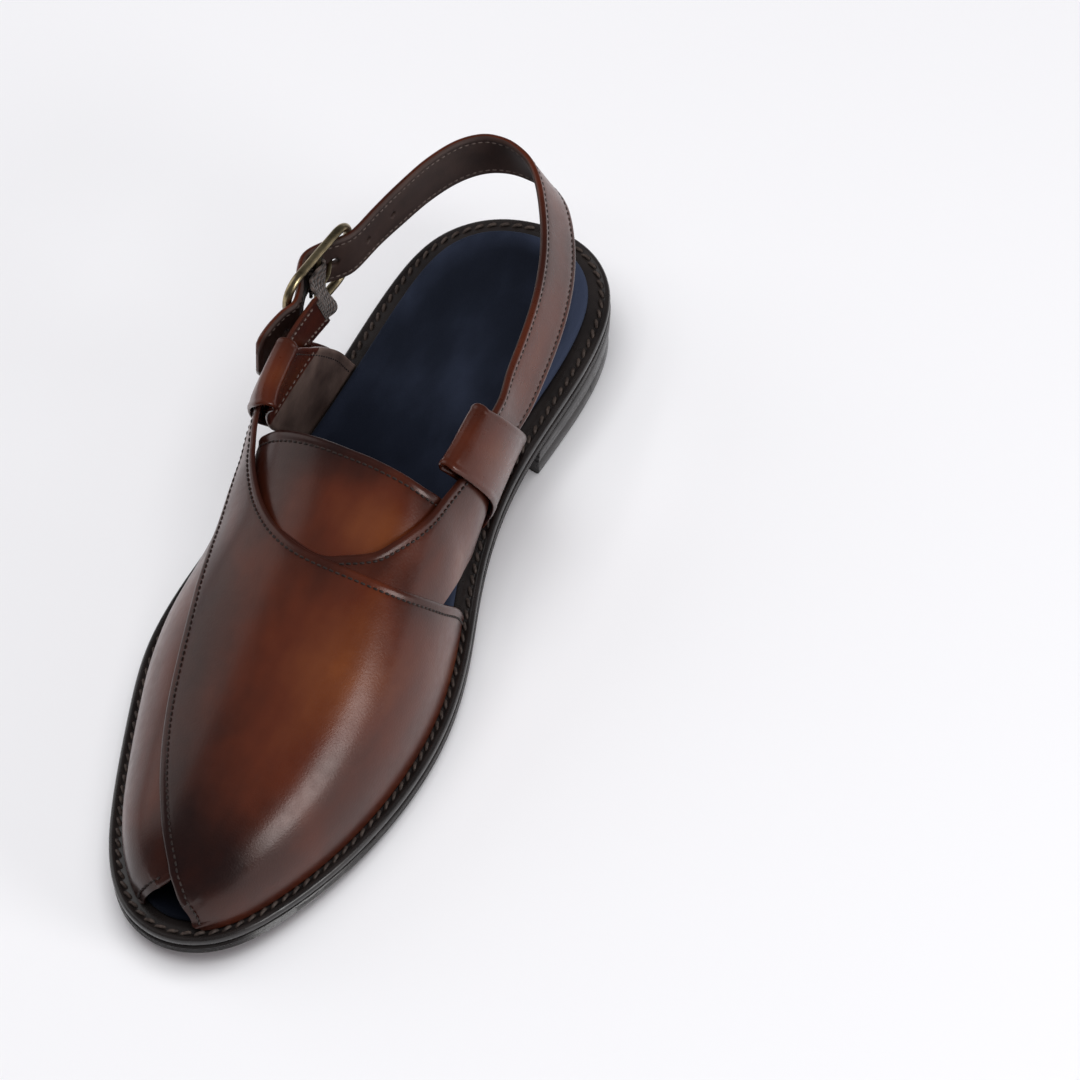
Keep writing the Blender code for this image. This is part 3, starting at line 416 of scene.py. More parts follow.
def add_mesh(name, points, faces, finishes, values=None, face_finish=None, merge=0.0, sharp=40.0):
    """A closed mesh object from places and faces. Values are numbers kept on the corners by name."""
    work = bmesh.new()
    layers = {key: work.verts.layers.float.new(key) for key in (values or {})}
    corners = [work.verts.new(point) for point in place(points)]
    for key, layer in layers.items():
        for corner, value in zip(corners, values[key]):
            corner[layer] = float(value)
    for k, face in enumerate(faces):
        if len(set(face)) > 2:
            made = work.faces.new([corners[i] for i in face])
            made.material_index = int(face_finish[k]) if face_finish is not None else 0
    bmesh.ops.delete(work, geom=[corner for corner in work.verts if not corner.link_faces], context="VERTS")
    if merge:
        bmesh.ops.remove_doubles(work, verts=work.verts[:], dist=merge * MM)
        bmesh.ops.dissolve_degenerate(work, edges=work.edges[:], dist=0.0000001)
    bmesh.ops.recalc_face_normals(work, faces=work.faces[:])
    mesh = bpy.data.meshes.new(name)
    work.to_mesh(mesh)
    work.free()
    for material in finishes:
        mesh.materials.append(material)
    mesh.shade_smooth()
    mesh.set_sharp_from_angle(angle=math.radians(sharp))
    made = bpy.data.objects.new(name, mesh)
    bpy.context.scene.collection.objects.link(made)
    return made


def grid_cells(rows, columns):
    """Four-cornered cells of a grid whose corners are numbered row by row."""
    wide = columns + 1
    return [(i * wide + j, i * wide + j + 1, (i + 1) * wide + j + 1, (i + 1) * wide + j)
            for i in range(rows) for j in range(columns)]


def each(kind, cells):
    """One finish number for every cell."""
    return [kind] * len(cells) if isinstance(kind, int) else list(kind)


def layered(name, cells, levels, finishes, values=None, underneath=0, outside=0, **options):
    """A solid between the first and last level of one sheet; levels between only shape the rim."""
    turns = {(start, cell[(i + 1) % len(cell)]) for cell in cells for i, start in enumerate(cell)}
    rim = sorted(pair for pair in turns if (pair[1], pair[0]) not in turns)
    rim_corners = sorted({corner for pair in rim for corner in pair})
    count = len(levels[0])
    points = [levels[0], levels[-1]]
    rings = [{corner: corner for corner in rim_corners}]
    total = 2 * count
    for level in levels[1:-1]:
        rings.append({corner: total + i for i, corner in enumerate(rim_corners)})
        points.append(np.asarray(level)[rim_corners])
        total += len(rim_corners)
    rings.append({corner: corner + count for corner in rim_corners})
    faces = [tuple(reversed(cell)) for cell in cells]
    kinds = each(underneath, cells) + each(outside, cells)
    faces += [tuple(corner + count for corner in cell) for cell in cells]
    for lower, upper in zip(rings, rings[1:]):
        faces += [(lower[a], lower[b], upper[b], upper[a]) for a, b in rim]
    kinds += [0] * (len(faces) - len(kinds))
    kept = {}
    for key, value in (values or {}).items():
        value = np.asarray(value, float)
        kept[key] = np.r_[value, value, np.tile(value[rim_corners], len(levels) - 2)]
    return add_mesh(name, np.vstack(points), faces, finishes, kept, kinds, **options)


def ribbon(name, middles, half, finishes, values=None, **options):
    """A solid round a grid of middle places, with its half thickness at each."""
    square = unit(np.cross(np.gradient(middles, axis=0), np.gradient(middles, axis=1)))
    rows, columns = middles.shape[:2]
    levels = [(middles + square * half[..., None] * sign).reshape(-1, 3) for sign in (-1, 1)]
    flat = {key: np.broadcast_to(value, (rows, columns)).reshape(-1)
            for key, value in (values or {}).items()}
    return layered(name, grid_cells(rows - 1, columns - 1), levels, finishes, flat, **options)


def round_faces(count, steps, base=0, closed=False):
    """Faces of a rod of so many rings of corners, joined into a loop or capped at both ends."""
    faces = []
    for i in range(count if closed else count - 1):
        a, b = base + i * steps, base + (i + 1) % count * steps
        faces += [(a + k, a + (k + 1) % steps, b + (k + 1) % steps, b + k) for k in range(steps)]
    if not closed:
        last = base + (count - 1) * steps
        faces += [tuple(base + k for k in range(steps - 1, -1, -1)), tuple(last + k for k in range(steps))]
    return faces


def tube(name, route, radius, finishes, steps, closed=False, upright=(0.05, 0.1, 1.0)):
    """A round wire along a route; radius is one number or one for each place."""
    route = np.asarray(route, float)
    radius = np.broadcast_to(np.asarray(radius, float), (len(route),))
    ahead = np.roll(route, -1, 0) - np.roll(route, 1, 0) if closed else np.gradient(route, axis=0)
    ahead = unit(ahead)
    side = unit(np.cross(ahead, np.broadcast_to(upright, route.shape)))
    top = np.cross(side, ahead)
    turns = np.linspace(0, 2 * math.pi, steps, endpoint=False)
    points = [route + (side * math.cos(t) + top * math.sin(t)) * radius[:, None] for t in turns]
    points = np.stack(points, axis=1).reshape(-1, 3)
    return add_mesh(name, points, round_faces(len(route), steps, closed=closed), finishes)


# A stitch from end to end: along its half length, thickness, and rise in radii
THREAD_SHAPE = ((-1.0, 0.35, -0.9), (-0.82, 0.75, -0.25), (-0.45, 1.0, 0.25), (0.0, 1.0, 0.4),
                (0.45, 1.0, 0.25), (0.82, 0.75, -0.25), (1.0, 0.35, -0.9))
THREAD_SIDES = 6
THREAD_TURNS = np.linspace(0, 2 * math.pi, THREAD_SIDES, endpoint=False)
THREAD_SHARP = 80


def thread(name, route, up, pitch, share, radius, finishes, slant=0.0):
    """A row of separate stitches along a route, each diving into the leather at both ends."""
    both = np.c_[route, np.broadcast_to(up, np.shape(route))]
    both = even(both, 0.4)
    length = travelled(both[:, :3])
    points, faces = [], []
    for k in range(int(length[-1] / pitch)):
        middle = (k + 0.5) * pitch
        rows = []
        for u, thick, rise in THREAD_SHAPE:
            at = [np.interp(middle + u * pitch * share / 2, length, both[:, c]) for c in range(6)]
            rows.append((np.array(at[:3]), unit(np.array(at[3:])), thick, rise, u))
        ahead = unit(rows[-1][0] - rows[0][0])
        faces += round_faces(len(rows), THREAD_SIDES, len(points))
        for point, square, thick, rise, u in rows:
            side = unit(np.cross(ahead, square))
            centre = point + square * rise * radius + side * slant * u * radius
            for turn in THREAD_TURNS:
                points.append(centre + (side * math.cos(turn) + square * math.sin(turn)) * radius * thick)
    return add_mesh(name, np.array(points), faces, finishes, sharp=THREAD_SHARP)


def finish_piece(piece, slot, *nodes):
    """Tie a piece to the shoe, name its finish and the solids it stands for."""
    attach(piece, "root")
    if nodes:
        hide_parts(*nodes)


def seam(name, slot, route, up, look, pitch=2.3, share=0.8, radius=0.28, slant=0.0):
    """A row of stitches as a finished piece."""
    finish_piece(thread(name, route, up, pitch, share, radius, [finish(look)], slant), slot)


def pattern_line(rows, step):
    """One edge of a leather pattern laid flat, as (along, girth) at even steps."""
    flat = np.array([(float(stretched(back)), share * GIRTH_SCALE) for back, share in rows])
    route = smooth_route(flat, 12) if len(rows) > 2 else flat
    length = travelled(route)
    marks = np.linspace(0, length[-1], max(1, round(length[-1] / step)) + 1)
    return np.c_[np.interp(marks, length, route[:, 0]), np.interp(marks, length, route[:, 1])]


def flat_on_last(flat, lift):
    return on_last(flat[:, 0], flat[:, 1] / GIRTH_SCALE, lift)


def distance_to(points, starts, ends):
    """Shortest distance from each point to any of the straight pieces, worked out in blocks."""
    along = ends - starts
    size = np.maximum((along ** 2).sum(1), 1e-12)
    best = []
    for low in range(0, len(points), BLOCK):
        rel = points[low:low + BLOCK, None] - starts[None]
        part = np.clip((rel * along[None]).sum(2) / size[None], 0, 1)
        best.append(np.linalg.norm(rel - along[None] * part[..., None], axis=2).min(1))
    return np.concatenate(best)


def inward(flat, closed=True):
    """Steps of one real millimetre to the left of travel, in pattern units."""
    ahead = np.roll(flat, -1, 0) - np.roll(flat, 1, 0) if closed else np.gradient(flat, axis=0)
    scale = girth_at(flat[:, 0]) / GIRTH_SCALE
    real = unit(np.c_[ahead[:, 0], ahead[:, 1] * scale])
    return np.c_[-real[:, 1], real[:, 0] / scale]


# Steps along a panel's edges and between the places inside it
PANEL_STEP = 1.4
PANEL_GRID = 3.4

# Places nearer than this to a folded edge belong to its fold
FOLD_REACH = FOLD[-1][0] + 1.0
BLOCK = 4000


def leather_panel(name, edges, free, under, over, finishes, shade, faced):
    """A leather panel on the last with folded free edges, cut to a pattern laid flat.

    free says which edges are folded and stitched rather than tucked away, and faced how far back and up
    the inside has the same leather as the outside.
    """
    lines = [pattern_line(rows, PANEL_STEP)[:-1] for rows in edges]
    outline = np.vstack(lines)
    is_free = np.concatenate([[flag] * len(line) for line, flag in zip(lines, free)]).astype(bool)
    area = (outline[:, 0] * np.roll(outline[:, 1], -1) - np.roll(outline[:, 0], -1) * outline[:, 1]).sum()
    turn = inward(outline) * (1 if area > 0 else -1)
    cut = flat_on_last(outline, 0)
    following = np.roll(cut, -1, 0)
    starts, ends = cut[is_free], following[is_free]
    places = [outline]
    for inset, _ in FOLD[1:]:
        moved = outline[is_free] + turn[is_free] * inset
        moved[:, 1] = np.clip(moved[:, 1], 0, GIRTH_SCALE)
        gap = distance_to(flat_on_last(moved, 0), cut, following)
        places.append(moved[gap > inset * 0.93])
    low, high = outline.min(0), outline.max(0)
    inner = np.array([
        (along, girth) for i, along in enumerate(np.arange(low[0], high[0], PANEL_GRID * 0.87))
        for girth in np.arange(low[1] + (PANEL_GRID / 2 if i % 2 else 0), high[1], PANEL_GRID)])
    spot = flat_on_last(inner, 0)
    clear = distance_to(spot, cut, following) > PANEL_GRID * 0.45
    clear &= distance_to(spot, starts, ends) > FOLD_REACH
    places.append(inner[clear])
    flat = np.vstack(places)
    loop = [(i, (i + 1) % len(outline)) for i in range(len(outline))]
    corners, _, triangles, *_ = delaunay_2d_cdt([Vector(point) for point in flat], loop, [], 1, 0.0001)
    flat = np.array([tuple(corner) for corner in corners])
    rim = distance_to(flat_on_last(flat, 0), starts, ends)
    fold = np.interp(rim, *zip(*FOLD))
    back = unstretched(flat[:, 0])
    share = flat[:, 1] / GIRTH_SCALE
    values = {"rim": rim, "patina": shade(back, share)}
    levels = [flat_on_last(flat, under + np.where(rim < 0.2, 0.25, 0.0)), flat_on_last(flat, over + fold)]
    cells = [tuple(triangle) for triangle in triangles]
    lined = [0 if back[cell[0]] < faced[0] and share[cell[0]] < faced[1] else 1 for cell in cells]
    return layered(name, cells, levels, finishes, values, underneath=lined)


def stitch_edge(name, rows, side, over, look, trim, face=1):
    """A row of stitches along an edge of a panel, on its outside or, with face -1, its inside."""
    looks = bpy.context.scene.chappal_looks
    flat = pattern_line(rows, STITCH_STEP)
    flat = flat + inward(flat, closed=False) * (looks.stitch_inset / MM) * side
    flat = flat[trim[0]:len(flat) - trim[1]]
    flat[:, 1] = np.clip(flat[:, 1], 0, GIRTH_SCALE)
    up = unit(flat_on_last(flat, 3.0) - flat_on_last(flat, 0.0)) * face
    seam(name, "burnished_leather", flat_on_last(flat, over - 0.08 * face), up, look,
         looks.stitch_pitch / MM, radius=looks.stitch_thick / MM / 2)


# Burnish patches: back, girth share, reach in back and share, and how much lighter
OUTER_BURNISH = (
    (199.0, 0.66, 24.0, 0.12, 0.26), (222.0, 0.68, 26.0, 0.12, 0.16), (172.0, 0.90, 16.0, 0.10, 0.20),
    (248.0, 0.60, 16.0, 0.10, 0.16), (284.0, 0.62, 15.0, 0.18, -0.40), (262.0, 0.42, 20.0, 0.10, -0.20),
    (215.0, 0.35, 50.0, 0.06, -0.16), (272.0, 0.80, 18.0, 0.10, -0.10), (120.0, 0.24, 34.0, 0.08, 0.22),
    (245.0, 0.54, 16.0, 0.08, -0.16),
)
INNER_BURNISH = (
    (150.0, 0.86, 18.0, 0.09, 0.30), (168.0, 0.70, 10.0, 0.05, 0.16), (220.0, 0.16, 60.0, 0.12, 0.02),
    (290.0, 0.2, 14.0, 0.3, -0.30),
)
TONGUE_BURNISH = (
    (170.0, 0.62, 12.0, 0.12, 0.36), (152.0, 0.46, 12.0, 0.12, -0.22), (166.0, 0.36, 16.0, 0.06, -0.2),
)
UNBURNISHED = 0.44


def burnish(patches):
    """A function giving how light the leather is, from patches placed by hand."""
    def shade(back, share):
        light = np.full(np.shape(back), UNBURNISHED)
        for at_back, at_share, reach_back, reach_share, amount in patches:
            far = ((back - at_back) / reach_back) ** 2 + ((share - at_share) / reach_share) ** 2
            light = light + amount * np.exp(-far)
        return np.clip(light, 0, 1)
    return shade


# Materials

def new_material(name):
    made = bpy.data.materials.new(name)
    made.use_nodes = True
    return made, made.node_tree, made.node_tree.nodes["Principled BSDF"]


def fill(tree, made, sockets):
    """Sets the inputs of a node, or links them where the value is another node's output."""
    for key, value in sockets.items():
        if isinstance(value, bpy.types.NodeSocket):
            tree.links.new(value, made.inputs[key])
        else:
            made.inputs[key].default_value = value


def node(tree, kind, sockets=None, **settings):
    made = tree.nodes.new(kind)
    for key, value in settings.items():
        setattr(made, key, value)
    fill(tree, made, sockets or {})
    return made


def place_in(tree, scale=(1, 1, 1), turn=(0, 0, 0)):
    """The object's own coordinates, scaled and turned."""
    spot = node(tree, "ShaderNodeTexCoord").outputs["Object"]
    return node(tree, "ShaderNodeMapping", {
        "Vector": spot, "Scale": scale, "Rotation": turn}).outputs["Vector"]


def noise(tree, scale, detail=3.0, rough=0.5, stretch=(1, 1, 1), turn=(0, 0, 0)):
    return node(tree, "ShaderNodeTexNoise", {
        "Vector": place_in(tree, stretch, turn), "Scale": scale, "Detail": detail,
        "Roughness": rough}).outputs["Fac"]


def maths(tree, operation, a, b=0.0, c=0.0, clamp=False):
    return node(tree, "ShaderNodeMath", {0: a, 1: b, 2: c}, operation=operation, use_clamp=clamp).outputs[0]


def ramp(tree, factor, stops):
    made = node(tree, "ShaderNodeValToRGB", {"Fac": factor})
    band = made.color_ramp
    while len(band.elements) < len(stops):
        band.elements.new(0.5)
    for element, (at, colour) in zip(band.elements, stops):
        element.position = at
        element.color = (*colour, 1.0)
    return made.outputs["Color"]


def span(tree, value, low, high, to_low, to_high):
    return node(tree, "ShaderNodeMapRange", {"Value": value, "From Min": low, "From Max": high,
                "To Min": to_low, "To Max": to_high}).outputs["Result"]


def attribute(tree, name):
    return node(tree, "ShaderNodeAttribute", attribute_name=name).outputs["Fac"]


def bumps(tree, shader, layers):
    """Chained bumps: (height socket, strength, distance in metres)."""
    square = None
    for height, strength, distance in layers:
        sockets = {"Height": height, "Strength": strength, "Distance": distance}
        if square:
            sockets["Normal"] = square
        square = node(tree, "ShaderNodeBump", sockets).outputs["Normal"]
    tree.links.new(square, shader.inputs["Normal"])


def leather(name, lighter=0.0, rough_from=0.28):
    """Burnished glossy leather: patina from the panel's own shading, darker towards folded edges."""
    made, tree, shader = new_material(name)
    looks = bpy.context.scene.chappal_looks
    dark, middle, pale = map(Vector, (looks.leather_dark, looks.leather_middle, looks.leather_light))
    tints = ((0.0, dark), (0.3, dark.lerp(middle, 0.37)), (0.55, middle), (0.8, middle.lerp(pale, 0.41)),
             (1.0, pale))
    cloud = noise(tree, 34.0, 4.0)
    streak = noise(tree, 120.0, 3.0, stretch=(1.0, 0.22, 1.0), turn=(0, 0, 0.25))
    light = attribute(tree, "patina")
    for mottle, amount in ((cloud, 0.13), (streak, 0.06)):
        light = maths(tree, "MULTIPLY_ADD", span(tree, mottle, 0.3, 0.7, -1.0, 1.0), amount, light)
    light = maths(tree, "ADD", light, span(tree, attribute(tree, "rim"), 0.0, 16.0, -0.2, 0.0))
    light = maths(tree, "ADD", light, lighter, clamp=True)
    fill(tree, shader, {
        "Base Color": ramp(tree, light, tints),
        "Roughness": span(tree, noise(tree, 300.0, 2.0), 0.3, 0.7, rough_from, rough_from + 0.08),
        "Specular IOR Level": 0.36, "Specular Tint": (1.0, 0.84, 0.80, 1.0),
        "Coat Weight": 0.18, "Coat Roughness": 0.2, "Coat Tint": (1.0, 0.86, 0.82, 1.0)})
    pebble = noise(tree, 1500.0, 1.0)
    bumps(tree, shader, ((pebble, 0.42, 0.00011), (noise(tree, 60.0, 1.0), 0.14, 0.0016)))
    return made


def thread_material(name, colour, other):
    made, tree, shader = new_material(name)
    tint = ramp(tree, noise(tree, 900.0, 2.0), ((0.3, colour), (0.7, other)))
    fill(tree, shader, {"Base Color": tint, "Roughness": 0.65})
    twist = node(tree, "ShaderNodeTexWave", {
        "Vector": place_in(tree, turn=(0.5, 0.4, 0.7)), "Scale": 700.0, "Distortion": 1.0},
        wave_type="BANDS").outputs["Fac"]
    bumps(tree, shader, ((twist, 0.5, 0.00012),))
    return made


def suede_material():
    made, tree, shader = new_material("navy_suede_nap")
    nap = noise(tree, 45.0, 5.0, stretch=(1.0, 0.5, 1.0), turn=(0, 0, 0.3))
    brushed = noise(tree, 9.0, 3.0)
    light = maths(tree, "MULTIPLY_ADD", nap, 0.75, maths(tree, "MULTIPLY", brushed, 0.3))
    spot = node(tree, "ShaderNodeSeparateXYZ", {"Vector": place_in(tree)}).outputs
    # Painted highlight: the nap is lighter within 7 mm of the insole's raised edge, strongest on the medial
    # side and weaker on the lateral side.
    rim = maths(tree, "MULTIPLY", span(tree, attribute(tree, "rim"), 0.0, 7.0, 0.5, 0.0),
                span(tree, spot["X"], -0.02, 0.015, 0.3, 1.0))
    # Painted shade: the nap darkens towards the toe, where the insole lies in the shade of the vamp.
    shade = span(tree, spot["Y"], -0.125, -0.06, 0.35, 1.0)
    light = maths(tree, "MULTIPLY", maths(tree, "ADD", light, rim), shade, clamp=True)
    pale = Vector(bpy.context.scene.chappal_looks.suede)
    tint = ramp(tree, light, ((0.3, pale * 0.12), (0.55, pale * 0.24), (0.72, pale * 0.44), (1.0, pale)))
    fill(tree, shader, {
        "Base Color": tint, "Roughness": 0.95, "Specular IOR Level": 0.15, "Sheen Weight": 0.06,
        "Sheen Roughness": 0.5, "Sheen Tint": (0.35, 0.45, 0.7, 1.0)})
    bumps(tree, shader, ((noise(tree, 2600.0, 3.0), 0.5, 0.0003), (nap, 0.25, 0.0008)))
    return made


def edge_material(name, gloss=0.27):
    """Painted sole edge: satin black with fine lines along it."""
    made, tree, shader = new_material(name)
    cloud = noise(tree, 60.0, 4.0)
    pale = Vector(bpy.context.scene.chappal_looks.sole_edge)
    fill(tree, shader, {
        "Base Color": ramp(tree, cloud, ((0.3, pale * 0.4), (0.75, pale))),
        "Roughness": span(tree, noise(tree, 220.0, 3.0), 0.3, 0.7, gloss - 0.06, gloss + 0.1),
        "Specular IOR Level": 0.4, "Coat Weight": 0.2, "Coat Roughness": 0.16})
    fine = noise(tree, 160.0, 4.0, stretch=(0.25, 0.25, 14.0))
    bumps(tree, shader, ((noise(tree, 900.0, 3.0), 0.12, 0.0002), (fine, 0.22, 0.0004)))
    return made


def oxblood_material():
    made, tree, shader = new_material("oxblood_sole")
    cloud = noise(tree, 22.0, 5.0)
    scuff = noise(tree, 260.0, 5.0, stretch=(1.0, 0.12, 1.0), turn=(0, 0, 0.5), rough=0.7)
    red = Vector(bpy.context.scene.chappal_looks.oxblood)
    base = ramp(tree, cloud, ((0.3, red * 0.55), (0.7, red)))
    mark = span(tree, scuff, 0.66, 0.76, 0.0, 0.5)
    mixed = node(tree, "ShaderNodeMix", {"Factor": mark, "A": base, "B": (0.2, 0.08, 0.085, 1.0)},
                 data_type="RGBA")
    fill(tree, shader, {
        "Base Color": mixed.outputs["Result"], "Roughness": 0.42, "Coat Weight": 0.12,
        "Coat Roughness": 0.3})
    bumps(tree, shader, ((noise(tree, 500.0, 4.0), 0.15, 0.0003), (scuff, 0.1, 0.0003)))
    return made


def rubber_material(name, height=None):
    made, tree, shader = new_material(name)
    dust = ramp(tree, noise(tree, 120.0, 5.0), ((0.3, (0.010, 0.010, 0.011)), (0.8, (0.024, 0.023, 0.025))))
    fill(tree, shader, {"Base Color": dust, "Roughness": 0.55})
    layers = [(noise(tree, 1400.0, 3.0), 0.2, 0.00015)]
    if height:
        layers.append((height(tree), 1.0, 0.0009))
    bumps(tree, shader, layers)
    return made


def cells(tree, size):
    """How far each place is from the middle of its cell, in a diagonal grid over the underside."""
    where = place_in(tree, (1 / size, 1 / size, 1 / size), (0, 0, math.pi / 4))
    split = node(tree, "ShaderNodeSeparateXYZ", {"Vector": where})
    return [maths(tree, "ABSOLUTE", maths(tree, "SUBTRACT", maths(tree, "FRACT", split.outputs[axis]), 0.5))
            for axis in ("X", "Y")]


def stud_height(tree):
    """Small diamond studs."""
    across, back = cells(tree, 0.0021)
    return span(tree, maths(tree, "MAXIMUM", across, back), 0.30, 0.38, 1.0, 0.0)


def lattice_height(tree):
    """Squares within squares joined by bars, inside a raised ring."""
    across, back = cells(tree, 0.0112)
    far = maths(tree, "MAXIMUM", across, back)
    near = maths(tree, "MINIMUM", across, back)
    rings = maths(tree, "PINGPONG", maths(tree, "MULTIPLY", far, 5.0), 0.5)
    rings = span(tree, rings, 0.2, 0.3, 0.0, 1.0)
    bars = span(tree, near, 0.05, 0.075, 1.0, 0.0)
    outer = span(tree, far, 0.28, 0.30, 0.0, 1.0)
    lattice = maths(tree, "MAXIMUM", rings, maths(tree, "MULTIPLY", bars, outer))
    rim = attribute(tree, "rim")
    inside = span(tree, rim, 3.6, 3.9, 0.0, 1.0)
    ring_part = span(tree, rim, 2.4, 2.8, 1.0, 0.0)
    return maths(tree, "MAXIMUM", maths(tree, "MULTIPLY", lattice, inside), ring_part)


# Turns of the elastic's weave for each millimetre along and across it
WEAVE_ALONG, WEAVE_WIDE = 2.4, 2.6


def weave_height(tree):
    """Coarse basket weave of the elastic, from its own length and width."""
    along, wide = (maths(tree, "SINE", maths(tree, "MULTIPLY", attribute(tree, name), pace))
                   for name, pace in (("along", WEAVE_ALONG), ("wide", WEAVE_WIDE)))
    return maths(tree, "MULTIPLY", along, wide)


def elastic_material():
    made, tree, shader = new_material("woven_taupe_elastic")
    weave = weave_height(tree)
    light = maths(tree, "MULTIPLY_ADD", weave, 0.3, noise(tree, 700.0, 3.0), clamp=True)
    pale = Vector(bpy.context.scene.chappal_looks.elastic)
    tint = ramp(tree, light, ((0.2, pale * 0.18), (0.8, pale)))
    fill(tree, shader, {"Base Color": tint, "Roughness": 0.9, "Sheen Weight": 0.2})
    bumps(tree, shader, ((noise(tree, 2500.0, 2.0), 0.4, 0.0002), (weave, 0.9, 0.0006)))
    return made


def brass_material():
    made, tree, shader = new_material("antique_brass_wire")
    wear = noise(tree, 160.0, 5.0, rough=0.6)
    gold = Vector(bpy.context.scene.chappal_looks.brass)
    tint = ramp(tree, wear, ((0.3, gold * 0.38), (0.55, gold), (0.8, gold * 1.6)))
    rough = span(tree, noise(tree, 500.0, 3.0), 0.3, 0.7, 0.26, 0.42)
    fill(tree, shader, {"Base Color": tint, "Metallic": 1.0, "Roughness": rough})
    bumps(tree, shader, ((noise(tree, 1800.0, 3.0), 0.12, 0.0001),))
    return made


def lining_material(name, dark, light, wrinkle=0.0):
    made, tree, shader = new_material(name)
    tint = ramp(tree, noise(tree, 90.0, 4.0), ((0.3, dark), (0.75, light)))
    fill(tree, shader, {"Base Color": tint, "Roughness": 0.62})
    layers = [(noise(tree, 1300.0, 3.0), 0.25, 0.0002)]
    if wrinkle:
        folds = noise(tree, 210.0, 4.0, stretch=(1.0, 0.35, 0.18), turn=(0.5, 0, 0))
        layers.append((folds, wrinkle, 0.0012))
    bumps(tree, shader, layers)
    return made


# Each finish: the function that makes it, and what it is given
MAKERS = {
    "leather": (leather, "burnished_leather_skin"),
    "strap": (leather, "strap_leather_skin", 0.03, 0.26),
    "lining": (lining_material, "dark_lining", (0.030, 0.015, 0.012), (0.058, 0.031, 0.024)),
    "taupe": (lining_material, "wrinkled_lining", (0.085, 0.052, 0.042), (0.23, 0.155, 0.128), 0.9),
    "thread": (thread_material, "brown_thread", (0.010, 0.006, 0.005), (0.032, 0.020, 0.017)),
    "pale_thread": (thread_material, "taupe_thread", (0.11, 0.078, 0.066), (0.2, 0.15, 0.13)),
    "welt_thread": (thread_material, "welt_thread", (0.022, 0.015, 0.013), (0.075, 0.055, 0.046)),
    "suede": (suede_material,),
    "edge": (edge_material, "sole_edge_paint"),
    "heel": (edge_material, "heel_edge_paint", 0.25),
    "oxblood": (oxblood_material,),
    "engraved": (lining_material, "engraved_oxblood", (0.014, 0.005, 0.005), (0.030, 0.009, 0.010)),
    "rubber": (rubber_material, "black_rubber"),
    "studs": (rubber_material, "studded_rubber", stud_height),
    "lattice": (rubber_material, "lattice_rubber", lattice_height),
    "elastic": (elastic_material,),
    "brass": (brass_material,),
}
FINISHES = {}


def finish(name):
    """The shoe's own materials, each made once."""
    if name not in FINISHES:
        maker, *given = MAKERS[name]
        FINISHES[name] = maker(*given)
    return FINISHES[name]


# Pieces

# Lift of each panel's two faces off the last
OUTER_OVER, OUTER_UNDER = 0.8, -0.55
INNER_OVER, INNER_UNDER = -0.6, -2.1
TONGUE_OVER, TONGUE_UNDER = -2.8, -4.4

# Where the outer panel ends on the medial feather
PANEL_FOOT = (294.4, 1.0)


def build_panels():
    """The crossed panels and the tongue with their folded edges and stitches."""
    skins = [finish("leather"), finish("lining")]
    outer = (OUTER_SEAM, (OUTER_SEAM[-1], OUTER_TOP[0]), OUTER_TOP, (OUTER_TOP[-1], PANEL_FOOT),
             (PANEL_FOOT, OUTER_SEAM[0]))
    inner = (INNER_TOE, INNER_HIDDEN, (INNER_HIDDEN[-1], INNER_TOP[0]), INNER_TOP,
             (INNER_TOP[-1], INNER_TOE[0]))
    tongue = (TONGUE_TOP, (TONGUE_TOP[-1], TONGUE_HIDDEN[0]), TONGUE_HIDDEN,
              (TONGUE_HIDDEN[-1], TONGUE_TOP[0]))
    for name, node_name, edges, free, under, over, patches, faced in (
            ("outer_panel", "upper", outer, (True, True, True, False, False), OUTER_UNDER, OUTER_OVER,
             OUTER_BURNISH, (150.0, 0.33)),
            ("inner_panel", "upper", inner, (True, False, False, True, False), INNER_UNDER, INNER_OVER,
             INNER_BURNISH, (0.0, 0.0)),
            ("instep_tongue_leather", "instep_tongue", tongue, (True, False, False, False), TONGUE_UNDER,
             TONGUE_OVER, TONGUE_BURNISH, (0.0, 0.0))):
        panel = leather_panel(name, edges, free, under, over, skins, burnish(patches), faced)
        finish_piece(panel, "burnished_leather", node_name)
    for name, rows, side, over, look, trim, face in (
            ("seam_stitches", OUTER_SEAM, -1, OUTER_OVER, "thread", (4, 4), 1),
            ("outer_top_stitches", OUTER_TOP, -1, OUTER_OVER, "thread", (3, 2), 1),
            ("tab_stitches", (OUTER_SEAM[-1], OUTER_TOP[0]), -1, OUTER_OVER, "thread", (2, 2), 1),
            ("inner_toe_stitches", INNER_TOE, 1, INNER_OVER, "thread", (3, 10), 1),
            ("inner_top_stitches", INNER_TOP, 1, INNER_OVER, "thread", (2, 3), 1),
            ("tongue_stitches", TONGUE_TOP, -1, TONGUE_OVER, "thread", (2, 2), 1),
            ("tab_inner_top_stitches", OUTER_TOP[:8], -1, OUTER_UNDER, "pale_thread", (2, 0), -1),
            ("tab_inner_seam_stitches", OUTER_SEAM[-6:], -1, OUTER_UNDER, "pale_thread", (0, 2), -1)):
        stitch_edge(name, rows, side, over, look, trim, face)


LOOP_THICK = 1.5

# Half thickness of a loop against the distance from its edge: a round fold, then the sunk stitches
LOOP_FOLD = ((0, 0.3, 0.8, 1.6, 2.4, 2.9, 3.6, 5), (0.2, 0.5, 0.74, 0.82, 0.74, 0.64, 0.72, 0.75))

# Lines along a loop near its edge, and which of them its stitches follow
LOOP_INSETS = np.array((0, 0.3, 0.8, 1.5, 2.2, 2.8, 3.4, 5.0))
LOOP_SEAM = 6


